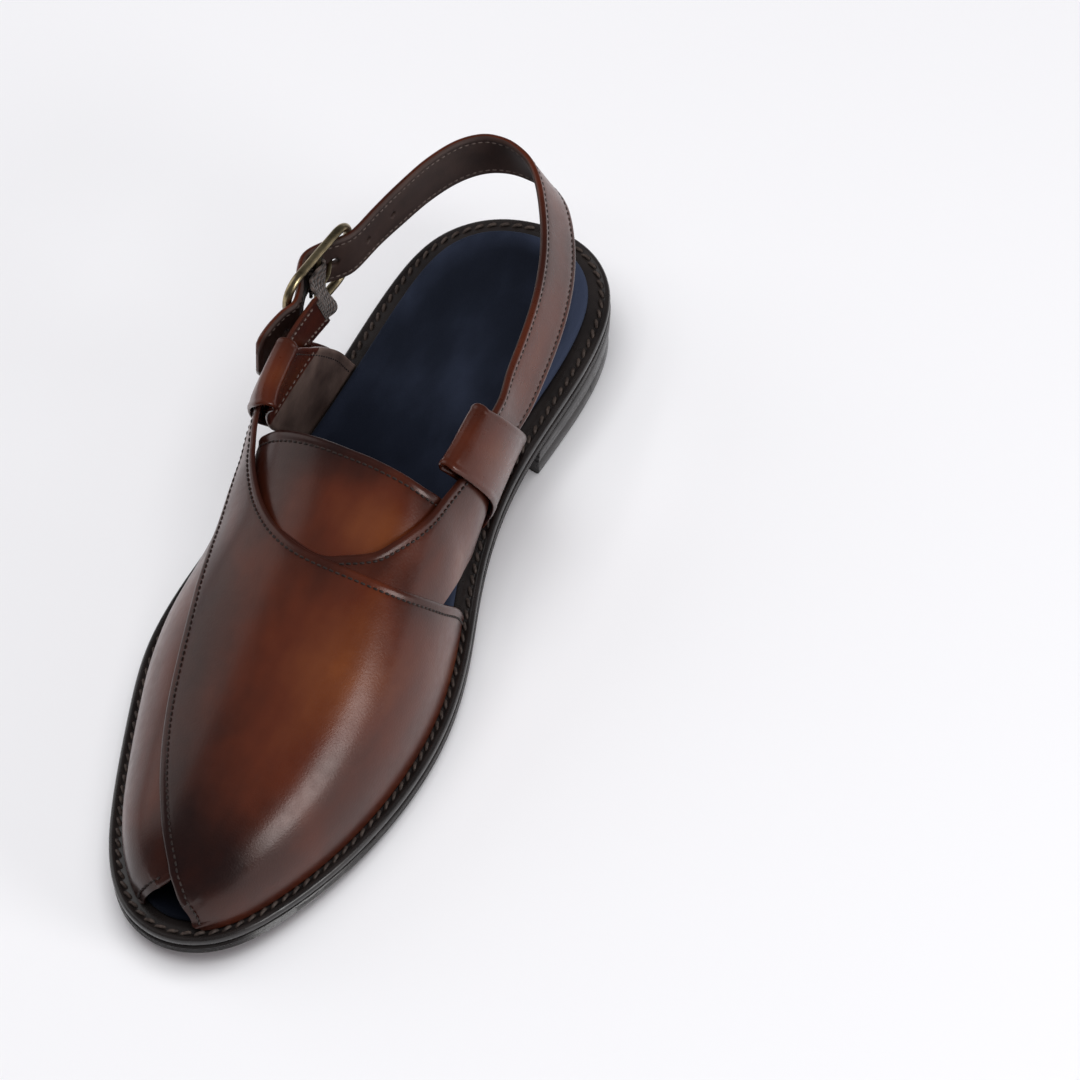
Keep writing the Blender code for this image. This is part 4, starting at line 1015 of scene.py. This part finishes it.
def build_loop(name, side, rows, lining):
    """A leather loop: one strip up the outside, over the strap and down the inside."""
    front, rear, outer, inner = (column(rows, i) for i in range(1, 5))
    top = rows[-1][0]
    crown = (outer(top) - inner(top)) / 2 - LOOP_THICK / 2
    middle = (outer(top) + inner(top)) / 2
    heights = np.linspace(0, top, 26)
    path = [(h, outer(h) - LOOP_THICK / 2) for h in heights]
    path += [(top + crown * math.sin(a), middle + crown * math.cos(a))
             for a in np.linspace(0, math.pi, 12)[1:-1]]
    path += [(h, inner(h) + LOOP_THICK / 2) for h in heights[::-1]]
    wide = float(front(20) - rear(20))
    marks = np.r_[LOOP_INSETS, np.linspace(7, wide - 7, 10), (wide - LOOP_INSETS)[::-1]] / wide
    near = np.minimum(marks, 1 - marks) * wide
    first_inner = len(path) - len(heights)
    grid = []
    for height, lift in path:
        low = min(height, top)
        back = rear(low) + (front(low) - rear(low)) * marks
        along = stretched(back)
        share = height / girth_at(along)
        if side > 0:
            share = 1 - share
        grid.append(on_last(along, share, lift))
    grid = np.array(grid)
    half = np.broadcast_to(np.interp(near, *LOOP_FOLD), grid.shape[:2]).copy()
    half[[0, -1]] *= 0.5
    light = np.full(grid.shape[:2], 0.56)
    level = np.array([h for h, _ in path]) / top
    light += 0.16 * np.exp(-((level - 0.75) / 0.25) ** 2)[:, None]
    values = {"rim": np.broadcast_to(near, grid.shape[:2]), "patina": light}
    square = unit(np.cross(np.gradient(grid, axis=0), np.gradient(grid, axis=1)))
    turned = ((grid + square)[5, 8] - grid[5, 8])[0] * side < 0
    lined = [1 if i >= first_inner and path[i][0] < lining else 0
             for i in range(len(path) - 1) for _ in range(len(marks) - 1)]
    sheets = {"underneath": lined} if turned else {"outside": lined}
    piece = ribbon(name + "_leather", grid, half, [finish("strap"), finish("taupe")], values, **sheets)
    finish_piece(piece, "burnished_leather", name)
    square = -square if turned else square
    rows_of = [("rear", (slice(first_inner, -1), LOOP_SEAM), 0.6, "thread", 2.3, 0.8, 0.27),
               ("foot", (slice(1, 6), LOOP_SEAM), 0.66, "thread", 2.3, 0.8, 0.28)]
    if lining:
        row = first_inner + sum(h > lining for h, _ in path[first_inner:]) - 1
        rows_of.insert(0, ("lining", (row, slice(3, -3)), 0.72, "pale_thread", 2.4, 0.75, 0.27))
    for label, at, lift, look, pitch, share, radius in rows_of:
        seam("%s_%s_stitches" % (name, label), "burnished_leather", grid[at] + square[at] * lift,
             square[at], look, pitch, share, radius)


def buckle_axes():
    """The buckle's own directions: towards the toe, up its bars, and outward."""
    forward = -unit(np.array([*BUCKLE_HEADING, 0.0]))
    upright = unit(np.array([*BUCKLE_LEAN, 1.0]))
    upright = unit(upright - forward * (upright @ forward))
    outward = np.cross(forward, upright)
    return forward, upright, outward if outward[0] < 0 else -outward


def at_buckle(ahead, high, out):
    forward, upright, outward = buckle_axes()
    return np.array(BUCKLE_AT) + forward * ahead + upright * high + outward * out


def strap_rows():
    """Middles, upright directions and widths along the whole back strap."""
    upright = buckle_axes()[1]
    rows = [(*row[:3], *row[3:], STRAP_WIDTH) for row in BACK_STRAP]
    lean = upright[:2] / upright[2]
    for ahead, out, drop, share in STRAP_WEAVE:
        rows.append((*at_buckle(ahead, -drop, out), *lean, STRAP_WIDTH * share))
    route = even(smooth_route(rows, 10), 1.3)
    uprights = unit(np.c_[route[:, 3:5], np.ones(len(route))])
    return route[:, :3], uprights, route[:, 5]


# Lines along the strap near its edge, its share of thickness at each, and which the stitches follow
EDGE_STEPS = np.array((0, 0.2, 0.55, 1.0, 1.5, 2.0, 2.5, 3.0, 3.8))
EDGE_HALF = np.array((0.25, 0.62, 0.92, 1.1, 1.12, 1.0, 0.86, 0.92, 1.0))
STRAP_SEAM = 6


def band_marks(width):
    """Distances across a band, close together near both edges, and its share of thickness at each."""
    middle = np.linspace(EDGE_STEPS[-1], width - EDGE_STEPS[-1], 8)[1:-1]
    marks = np.r_[EDGE_STEPS, middle, (width - EDGE_STEPS)[::-1]]
    share = np.r_[EDGE_HALF, np.ones(len(middle)), EDGE_HALF[::-1]]
    return marks / width - 0.5, share, np.minimum(marks, width - marks)


def build_strap():
    """Back strap with folded edges, two rows of stitches on each face and its holes."""
    middles, uprights, widths = strap_rows()
    marks, share, near = band_marks(STRAP_WIDTH)
    grid = middles[:, None] + uprights[:, None] * (marks[None, :, None] * widths[:, None, None])
    half = np.broadcast_to(share * STRAP_THICK / 2, grid.shape[:2]).copy()
    half[[0, -1]] *= 0.4
    light = np.full(grid.shape[:2], 0.55)
    length = travelled(middles)
    light += 0.1 * np.sin(length / 17.0)[:, None]
    values = {"rim": np.broadcast_to(near, grid.shape[:2]), "patina": light}
    square = unit(np.cross(np.gradient(grid, axis=0), np.gradient(grid, axis=1)))
    outside = 1 if (square[len(grid) // 2, 10] @ np.array([0, -1.0, 0])) > 0 else -1
    piece = ribbon("back_strap_leather", grid, half * outside, [finish("strap"), finish("lining")], values,
                   underneath=1)
    bar = length[np.linalg.norm(middles - at_buckle(0, 0, STRAP_WEAVE[3][1]), axis=1).argmin()]
    for ahead, radius in STRAP_HOLES:
        at = np.abs(length - bar - ahead).argmin()
        out = square[at, len(marks) // 2] * 4
        drill = tube("drill", np.array([middles[at] - out, middles[at] + out]), radius, [finish("lining")],
                     20)
        hole = piece.modifiers.new("hole", "BOOLEAN")
        hole.object = drill
        hole.solver = "EXACT"
        bpy.context.view_layer.objects.active = piece
        bpy.ops.object.modifier_apply(modifier=hole.name)
        bpy.data.objects.remove(drill, do_unlink=True)
    finish_piece(piece, "strap_leather", "back_strap")
    for label, k in (("lower", STRAP_SEAM), ("upper", -1 - STRAP_SEAM)):
        for face, sign, look in (("outer", outside, "thread"), ("inner", -outside, "pale_thread")):
            up = square[3:-3, k] * sign
            seam("strap_%s_%s_stitches" % (label, face), "strap_leather", grid[3:-3, k] + up * 0.9, up,
                 look)


def rounded_rectangle(long, high, corner, steps):
    """Ahead and high of points round a rectangle with round corners."""
    points = []
    for turn, (sx, sz) in enumerate(((1, 1), (-1, 1), (-1, -1), (1, -1))):
        for i in range(steps + 1):
            angle = math.pi / 2 * (turn + i / steps)
            points.append((sx * (long / 2 - corner) + corner * math.cos(angle),
                           sz * (high / 2 - corner) + corner * math.sin(angle)))
    return points


def build_buckle():
    """Antique brass frame, centre bar and prong."""
    loop = rounded_rectangle(BUCKLE_LONG, BUCKLE_HIGH, BUCKLE_CORNER, 10)
    dense = []
    for i, (ahead, high) in enumerate(loop):
        nxt = loop[(i + 1) % len(loop)]
        steps = max(1, int(math.dist((ahead, high), nxt) / 1.5))
        dense += [(ahead + (nxt[0] - ahead) * t / steps, high + (nxt[1] - high) * t / steps)
                  for t in range(steps)]
    outward = buckle_axes()[2]
    route = np.array([at_buckle(ahead, high, 0.0) for ahead, high in dense])
    rim = tube("buckle_rim", route, WIRE, [finish("brass")], 20, closed=True, upright=outward)
    finish_piece(rim, "antique_brass", "buckle_frame")
    reach = BUCKLE_HIGH / 2
    bar_route = np.array([at_buckle(0, high, 0) for high in np.linspace(-reach, reach, 9)])
    bar = tube("buckle_centre_bar", bar_route, BAR, [finish("brass")], 16, upright=outward)
    finish_piece(bar, "antique_brass")
    hub = BAR + JOIN + PRONG
    rest = WIRE + JOIN + PRONG
    rear = -BUCKLE_LONG / 2
    eye = [at_buckle(hub * math.cos(a), 0.0, hub * math.sin(a))
           for a in np.radians(np.linspace(150, -95, 14))]
    eye += [at_buckle(ahead, 0.0, out) for ahead, out in (
        (-3.6, -1.7), (-6.2, -0.4), (-8.6, 0.9), (-11.5, 2.1), (rear + 2.5, rest), (rear, rest),
        (rear - 2.0, rest - 0.5))]
    route = smooth_route(eye, 3)
    radius = np.interp(np.arange(len(route)), (0, len(route) * 0.7, len(route) - 3, len(route) - 1),
                       (PRONG, PRONG, PRONG * 0.85, PRONG * 0.45))
    prong = tube("buckle_prong_wire", route, radius, [finish("brass")], 14)
    finish_piece(prong, "antique_brass", "buckle_prong")


def build_elastic():
    """Woven elastic from behind the end tab to the centre bar and round it."""
    lift = (OUTER_OVER + OUTER_UNDER) / 2
    route, uprights = [], []
    for shift in (1.6, -0.6):
        low, high = (on_last(back + shift, share, lift)[0] for back, share in TAB_END)
        route.append((low + high) / 2)
        uprights.append(unit(high - low))
    wrap = BAR + JOIN + WEB_THICK / 2
    around = [at_buckle(wrap * math.cos(a), 0.0, wrap * math.sin(a))
              for a in np.radians(np.linspace(-100, -315, 14))]
    bar_upright = buckle_axes()[1]
    for share in WEB_TWISTED_AT:
        route.append(route[1] + (around[0] - route[1]) * share)
        level = uprights[1] + (bar_upright - uprights[1]) * share
        uprights.append(level + (unit(np.array(WEB_TWISTED)) - level) * WEB_TWIST)
    rows = np.c_[np.vstack([route, around]), np.vstack([uprights, [bar_upright] * len(around)])]
    rows = even(smooth_route(rows, 6), 0.5)
    middles, uprights = rows[:, :3], unit(rows[:, 3:])
    length = travelled(middles)
    marks = np.linspace(-0.5, 0.5, 47)
    grid = middles[:, None] + uprights[:, None] * marks[None, :, None] * WEB_WIDTH
    wide = (marks + 0.5) * WEB_WIDTH
    weave = np.sin(length * WEAVE_ALONG)[:, None] * np.sin(wide * WEAVE_WIDE)[None]
    half = WEB_THICK / 2 * np.interp(np.minimum(wide, WEB_WIDTH - wide), (0, 0.5, 1.2), (0.5, 0.9, 1.0))
    half = np.broadcast_to(half, grid.shape[:2]) + weave * 0.12
    piece = ribbon("elastic_weave", grid, half, [finish("elastic")],
                   {"along": length[:, None], "wide": wide})
    finish_piece(piece, "woven_elastic", "elastic_webbing")


# The sole's faces run from its edge to a line down its middle, in steps at these shares of the way
SPINE = (34.0, 262.0)
PAD_SHARES = (0.15, 0.4, 0.7, 1.0)
SCROLL_PITCH = 7.4
SCROLL_INSET = 10.5
WELT_SEAM = 3.0
WELT_THREAD_SUNK = 0.32
WELT_THREAD = 0.66
MERGE = 0.001


def pad(name, rims, finishes, slot, node_name, underneath=0):
    """A solid over the whole sole outline, from rings of (inset, height function) bottom to top."""
    loops = [(*rims[0], share) for share in reversed(PAD_SHARES)] + [(*rim, 0.0) for rim in rims]
    loops += [(*rims[-1], share) for share in PAD_SHARES]
    points, near, faces, kinds = [], [], [], []
    for inset, height, share in loops:
        loop = ring(inset)[::2]
        back = np.clip(loop[:, 1], *SPINE)
        middle = (edge(-1, back, 0.0) + edge(1, back, 0.0)) / 2
        spot = loop + (np.c_[middle, back] - loop) * share
        points.append(np.c_[spot, height(spot[:, 1])])
        near.append(np.linalg.norm(spot - loop, axis=1))
    wide = OUTLINE_STEPS // 2
    for i in range(len(loops) - 1):
        a, b = i * wide, (i + 1) * wide
        faces += [(a + k, a + (k + 1) % wide, b + (k + 1) % wide, b + k) for k in range(wide)]
        kinds += [underneath if i < len(PAD_SHARES) else 0] * wide
    made = add_mesh(name, np.vstack(points), faces, finishes, {"rim": np.concatenate(near)}, kinds,
                    merge=MERGE)
    finish_piece(made, slot, node_name)


def above(base, rise):
    """A height function a fixed rise above another."""
    return lambda back: base(back) + rise


def level_at(up):
    """A height function that is the same everywhere."""
    return lambda back: up


def build_insole():
    """Suede insole with a soft edge."""
    rims = [(INSOLE_INSET + inset, above(seat, up)) for inset, up in (
        (0.3, JOIN), (0.0, 0.9), (0.05, INSOLE_THICK - 1.0), (0.4, INSOLE_THICK - 0.4),
        (1.1, INSOLE_THICK - 0.08), (2.2, INSOLE_THICK))]
    pad("suede_insole", rims, [finish("suede")], "navy_suede", "insole")


def build_welt():
    """Welt with a rounded shiny rim, a sunk groove and chunky stitches in it."""
    rims = [(inset, above(outsole_top, up)) for inset, up in (
        (0.9, JOIN), (0.35, 0.55), (0.1, 1.1), (0.0, 1.9), (0.12, WELT_THICK - 0.75),
        (0.55, WELT_THICK - 0.22), (1.15, WELT_THICK), (1.7, WELT_THICK - 0.03), (2.15, WELT_THICK - 0.45),
        (2.7, WELT_THICK - 0.75), (3.4, WELT_THICK - 0.7), (4.2, WELT_THICK - 0.15), (6.0, WELT_THICK))]
    pad("welt_ring", rims, [finish("edge")], "sole_edge", "welt")
    loop = ring(WELT_SEAM)
    route = np.c_[loop, seat(loop[:, 1]) - WELT_THREAD_SUNK]
    pitch = bpy.context.scene.chappal_looks.welt_pitch / MM
    seam("welt_stitches", "sole_edge", np.vstack([route, route[:1]]), (0, 0, 1.0), "welt_thread",
         pitch, 0.86, WELT_THREAD, slant=0.9)


def build_outsole():
    """Outsole with a lined black edge over an oxblood underside."""
    rims = [(1.6, 0.0), (0.9, 0.35), (0.35, 1.2)]
    for k in range(4):
        up = 1.7 + k * 0.66
        rims += [(0.12, up), (0.3, up + 0.22), (0.12, up + 0.44)]
    rims += [(0.3, OUTSOLE_THICK - 0.35), (0.9, OUTSOLE_THICK)]
    pad("outsole_layer", [(inset, above(underside, up)) for inset, up in rims],
        [finish("edge"), finish("oxblood")], "sole_oxblood", "outsole", underneath=1)


PLATE_COLUMNS = 16


def part_plate(name, levels, finishes, slot, node_name, stop, start=None, hollow=0.0, stations=70,
               underneath=0):
    """Part of the heel's stack, from its rear end or a start line to a stop line that may curve in."""
    surfaces = []
    for inset, height in levels:
        first = sides(inset)[0] if start is None else start
        points = []
        for i in range(stations + 1):
            turn = i / stations
            if start is None:
                turn = 1 - math.cos(math.pi / 2 * turn)
            for j in range(PLATE_COLUMNS + 1):
                share = j / PLATE_COLUMNS
                back = first + (stop - hollow * (1 - (2 * share - 1) ** 2) - first) * turn
                lateral, medial = edge(-1, back, inset), edge(1, back, inset)
                points.append((lateral + (medial - lateral) * share, back, height(back)))
        surfaces.append(np.array(points))
    piece = layered(name, grid_cells(stations, PLATE_COLUMNS), surfaces, finishes, underneath=underneath,
                    merge=MERGE)
    finish_piece(piece, slot, node_name)


def strokes(name, routes, radii, square):
    """Many short engraved strokes as one finished piece; radii runs along each."""
    points, faces = [], []
    for route in routes:
        side = unit(np.cross(unit(np.gradient(route, axis=0)), square))
        faces += round_faces(len(route), THREAD_SIDES, len(points))
        for centre, across, radius in zip(route, side, radii):
            points += [centre + (across * math.cos(t) + square * math.sin(t)) * radius
                       for t in THREAD_TURNS]
    made = add_mesh(name, np.array(points), faces, [finish("engraved")], sharp=THREAD_SHARP)
    finish_piece(made, "sole_oxblood")


def build_scrolls():
    """The engraved chain of S shapes and dots round the underside, from the heel's breast to the toe."""
    pitch = bpy.context.scene.chappal_looks.scroll_pitch / MM
    down = np.array([0.0, 0.0, -1.0])
    for label, side in (("medial", 1), ("lateral", -1)):
        backs = np.linspace(HEEL_BREAST + 3, 262, 140)
        route = even(np.c_[edge(side, backs, SCROLL_INSET), backs], 0.5)
        length = travelled(route)
        routes, dots = [], []
        for k in range(int(length[-1] / pitch)):
            middle = (k + 0.5) * pitch
            at, nxt = (np.array([np.interp(spot, length, route[:, c]) for c in range(2)])
                       for spot in (middle, middle + 1))
            ahead = unit(nxt - at)
            inner = np.array([-side * abs(ahead[1]), side * ahead[0] * np.sign(ahead[1])])
            shape = [(math.sin(u * 1.35) * 4.6, math.sin(u * 2.6) * 1.5 + 0.35 * u)
                     for u in np.linspace(-1.25, 1.25, 15)]
            flat = np.array([at + ahead * a + inner * b for a, b in shape])
            routes.append(np.c_[flat, underside(flat[:, 1]) - 0.05])
            for share in (-0.28, 0.28):
                spot = at + ahead * share * pitch + inner * 2.9
                pair = np.array([spot - ahead * 0.5, spot, spot + ahead * 0.5])
                dots.append(np.c_[pair, underside(pair[:, 1]) - 0.05])
        taper = 0.2 + 0.42 * np.sin(np.linspace(0.15, math.pi - 0.15, 15)) ** 0.7
        strokes("scroll_chain_" + label, routes, taper, down)
        strokes("scroll_dots_" + label, dots, (0.3, 0.55, 0.3), down)


def build_heel():
    """Stacked heel block and its two lifts."""
    levels = [(HEEL_TAPER, LIFT_THICK + JOIN)]
    for k in range(3):
        up = LIFT_THICK + 0.8 + k * 2.1
        inset = HEEL_TAPER - 0.32 * (k + 1)
        levels += [(inset, up), (inset, up + 1.75), (inset + 0.22, up + 1.93)]
    room = underside(HEEL_BREAST) - 1.0
    levels = [(inset, level_at(up)) for k, (inset, up) in enumerate(levels) if k == 0 or up < room]
    levels += [(0.62, above(underside, -0.8)), (0.9, above(underside, -JOIN))]
    part_plate("heel_stack", levels, [finish("heel")], "sole_edge", "heel_block", HEEL_BREAST,
               hollow=BREAST_HOLLOW)
    lift = [(HEEL_TAPER + inset, level_at(up)) for inset, up in (
        (1.2, 0.0), (0.4, 0.35), (0.0, 1.1), (0.0, LIFT_THICK - 0.3), (0.25, LIFT_THICK))]
    part_plate("heel_lift_rubber", lift, [finish("heel"), finish("studs")], "grip_rubber", "heel_lift_rear",
               LIFT_SPLIT, underneath=1)
    part_plate("heel_lift_oxblood", lift, [finish("heel"), finish("oxblood")], "sole_oxblood",
               "heel_lift_front", HEEL_BREAST, start=LIFT_SPLIT + JOIN, hollow=BREAST_HOLLOW, stations=30,
               underneath=1)


GRIP_CELLS_LONG, GRIP_CELLS_WIDE = 90, 40

# Height of the grip's edge over its tread, and how deep it is let into the outsole
GRIP_EDGE, GRIP_DEEP = 0.7, 2.0


def build_grip():
    """Egg-shaped rubber grip under the ball."""
    half, middle = column(GRIP, 1), column(GRIP, 2)
    centre, reach = (GRIP[0][0] + GRIP[-1][0]) / 2, (GRIP[-1][0] - GRIP[0][0]) / 2

    def bottom(back):
        return np.maximum(0.0, underside(back) - GRIP_PROUD)

    surfaces = []
    turn = np.cos(np.linspace(0, math.pi, GRIP_CELLS_LONG + 1))[:, None]
    shares = np.sin(np.linspace(-math.pi / 2, math.pi / 2, GRIP_CELLS_WIDE + 1))[None]
    for growth, height in (
            (-0.8, bottom), (0.0, above(bottom, GRIP_EDGE)), (0.0, above(underside, GRIP_DEEP))):
        back = centre - reach * turn
        grown = centre - (reach + growth) * turn
        wide = half(back) * (1 + growth / GRIP_HALF_WIDTH)
        across = middle(back) + wide * shares
        back_at = np.broadcast_to(grown, across.shape)
        surfaces.append(np.stack([across, back_at, height(back_at)], axis=-1).reshape(-1, 3))
    flat = surfaces[0].reshape(GRIP_CELLS_LONG + 1, GRIP_CELLS_WIDE + 1, 3)[..., :2]
    outline = np.vstack([flat[:, 0], flat[:, -1][::-1]])
    rim = distance_to(flat.reshape(-1, 2), outline, np.roll(outline, -1, 0))
    piece = layered("grip_rubber_pad", grid_cells(GRIP_CELLS_LONG, GRIP_CELLS_WIDE), surfaces,
                    [finish("rubber"), finish("lattice")], {"rim": rim}, underneath=1, merge=MERGE)
    finish_piece(piece, "grip_rubber", "forefoot_grip")


CAMERA_TARGET = (0.05425, 0.02669, 0.025)
LIGHT_TARGET = (0, -0.02, 0.03)


def build_stage():
    """Floor, light and the camera at the photograph's angle."""
    settings = bpy.context.scene.chappal_stage
    bpy.ops.object.select_all(action="DESELECT")
    bpy.ops.mesh.primitive_plane_add(size=8.0)
    floor = bpy.context.active_object
    floor.name = "studio_floor"
    made, tree, shader = new_material("studio_white")
    fill(tree, shader, {
        "Base Color": (*settings.floor_colour, 1.0), "Roughness": 0.9, "Specular IOR Level": 0.1})
    bumps(tree, shader, ((noise(tree, 30.0, 2.0), 0.02, 0.001),))
    floor.data.materials.append(made)
    bpy.context.scene.view_settings.view_transform = "Standard"
    world = bpy.context.scene.world or bpy.data.worlds.new("studio")
    bpy.context.scene.world = world
    world.use_nodes = True
    fill(world.node_tree, world.node_tree.nodes["Background"], {
        "Color": (0.93, 0.93, 1.0, 1.0), "Strength": settings.sky})
    for name, at, size, power, mirrored in (
            ("light_above", (0.1, 0.0, 2.2), (2.4, 2.4), settings.top_power, False),
            ("light_left", (-1.45, 0.05, 0.85), (1.3, 1.5), settings.left_power, True),
            ("light_right", (1.3, -0.12, 0.42), (0.52, 0.58), settings.right_power, True)):
        data = bpy.data.lights.new(name, "AREA")
        data.shape = "RECTANGLE"
        data.size, data.size_y = size
        data.energy = power
        lamp = bpy.data.objects.new(name, data)
        lamp.location = at
        lamp.visible_glossy = mirrored
        lamp.rotation_mode = "QUATERNION"
        lamp.rotation_quaternion = (Vector(at) - Vector(LIGHT_TARGET)).to_track_quat("Z", "Y")
        bpy.context.scene.collection.objects.link(lamp)
    data = bpy.data.cameras.new("photo_camera")
    data.sensor_width = 36.0
    data.lens = settings.lens
    data.clip_start, data.clip_end = 0.05, 20.0
    camera = bpy.data.objects.new("photo_camera", data)
    azimuth, elevation, roll = map(math.radians, (settings.azimuth, settings.elevation, settings.roll))
    back = Vector((math.sin(azimuth) * math.cos(elevation), -math.cos(azimuth) * math.cos(elevation),
                   math.sin(elevation)))
    side = Vector((-back.y, back.x, 0.0)).normalized()
    up = back.cross(side)
    right = side * math.cos(roll) + up * math.sin(roll)
    top = up * math.cos(roll) - side * math.sin(roll)
    turn = Matrix((right, top, back)).transposed().to_4x4()
    turn.translation = Vector(CAMERA_TARGET) + back * settings.distance
    camera.matrix_world = turn
    bpy.context.scene.collection.objects.link(camera)
    bpy.context.scene.camera = camera


def colour_of(name, words, value):
    """A colour a user may change."""
    return bpy.props.FloatVectorProperty(name=name, description=words, default=value, size=3,
                                         subtype="COLOR")


def number_of(name, words, value, **options):
    """A number a user may change."""
    return bpy.props.FloatProperty(name=name, description=words, default=value, **options)


def size_of(name, words, value):
    """A small length a user may change."""
    return number_of(name, words, value, min=value / 4, max=value * 3, unit="LENGTH", precision=5)


class ChappalLooks(bpy.types.PropertyGroup):
    """Colours and small sizes of the shoe."""

    leather_dark: colour_of("Leather dark", "Leather where it is burnished darkest",
                            (0.011, 0.0040, 0.0035))
    leather_middle: colour_of("Leather middle", "Leather's own brown", (0.072, 0.0142, 0.0050))
    leather_light: colour_of("Leather light", "Leather where it is burnished lightest",
                             (0.175, 0.050, 0.0130))
    suede: colour_of("Suede", "Insole's nap where it is brushed lightest", (0.035, 0.044, 0.075))
    sole_edge: colour_of("Sole edge", "Paint on the welt, sole edge and heel", (0.022, 0.0175, 0.0165))
    oxblood: colour_of("Oxblood", "Underside of the sole", (0.105, 0.022, 0.027))
    brass: colour_of("Brass", "Buckle wire", (0.42, 0.34, 0.20))
    elastic: colour_of("Elastic", "Woven elastic", (0.13, 0.097, 0.085))
    stitch_pitch: size_of("Stitch pitch", "From one stitch of a panel to the next", 0.00215)
    stitch_thick: size_of("Stitch thickness", "Thread of the panels", 0.00072)
    stitch_inset: size_of("Stitch inset", "From a folded edge to its stitches", STITCH_INSET * MM)
    welt_pitch: size_of("Welt pitch", "From one welt stitch to the next", 0.0043)
    scroll_pitch: size_of("Scroll pitch", "From one engraved scroll to the next", SCROLL_PITCH * MM)


class ChappalStage(bpy.types.PropertyGroup):
    """Camera, floor and light."""

    azimuth: number_of("Azimuth", "Camera's turn round the shoe, in degrees", 28.57)
    elevation: number_of("Elevation", "Camera's height angle, in degrees", 51.63)
    roll: number_of("Roll", "Camera's tilt to the side, in degrees", -5.23)
    distance: number_of("Distance", "Camera from the picture's middle", 1.8627, unit="LENGTH")
    lens: number_of("Lens", "Focal length in millimetres", 193.45)
    floor_colour: colour_of("Floor", "Colour of the floor", (0.87, 0.865, 0.885))
    sky: number_of("Sky", "Strength of the even light", 0.125)
    top_power: number_of("Top light", "Power of the light above", 52.0, unit="POWER")
    left_power: number_of("Left light", "Power of the broad light", 5.6, unit="POWER")
    right_power: number_of("Right light", "Power of the small light", 7.0, unit="POWER")


def operator(name, label, words, work):
    """An operator class that runs one building function."""
    def execute(self, context):
        work()
        return {"FINISHED"}

    return type("CHAPPAL_OT_" + name, (bpy.types.Operator,), {
        "__doc__": words, "bl_idname": "chappal." + name, "bl_label": label, "execute": execute})


OPERATORS = (
    operator("panels", "Panels and tongue", "Make the crossed leather panels, tongue and stitches",
             build_panels),
    operator("medial_loop", "Medial loop", "Make the loop on the big-toe side",
             lambda: build_loop("side_loop_medial", 1, LOOP_MEDIAL, 0.0)),
    operator("lateral_loop", "Lateral loop", "Make the loop on the buckle side",
             lambda: build_loop("side_loop_lateral", -1, LOOP_LATERAL, 38.0)),
    operator("strap", "Back strap", "Make the back strap with its holes and stitches", build_strap),
    operator("buckle", "Buckle", "Make the brass buckle", build_buckle),
    operator("elastic", "Elastic", "Make the woven elastic", build_elastic),
    operator("insole", "Insole", "Make the suede insole", build_insole),
    operator("welt", "Welt", "Make the welt and its stitches", build_welt),
    operator("outsole", "Outsole", "Make the outsole", build_outsole),
    operator("scrolls", "Engraved chain", "Make the chain engraved round the underside", build_scrolls),
    operator("heel", "Heel", "Make the heel", build_heel),
    operator("grip", "Forefoot grip", "Make the rubber grip", build_grip),
    operator("stage", "Stage", "Make the floor, lights and camera", build_stage),
)


class CHAPPAL_PT_panel(bpy.types.Panel):
    """Lists what makes the shoe."""

    bl_label = "Peshawari chappal"
    bl_space_type = "VIEW_3D"
    bl_region_type = "UI"
    bl_category = "Chappal"

    def draw(self, context):
        for made in OPERATORS:
            self.layout.operator(made.bl_idname)
        for group in (context.scene.chappal_looks, context.scene.chappal_stage):
            for key in group.bl_rna.properties.keys():
                if key not in ("rna_type", "name"):
                    self.layout.prop(group, key)


CLASSES = (ChappalLooks, ChappalStage, *OPERATORS, CHAPPAL_PT_panel)


def register():
    for made in CLASSES:
        bpy.utils.register_class(made)
    bpy.types.Scene.chappal_looks = bpy.props.PointerProperty(type=ChappalLooks)
    bpy.types.Scene.chappal_stage = bpy.props.PointerProperty(type=ChappalStage)


def unregister():
    del bpy.types.Scene.chappal_stage
    del bpy.types.Scene.chappal_looks
    for made in reversed(CLASSES):
        bpy.utils.unregister_class(made)


def main():
    register()
    for made in OPERATORS:
        getattr(bpy.ops.chappal, made.bl_idname.split(".")[1])()


if __name__ == "__main__":
    main()
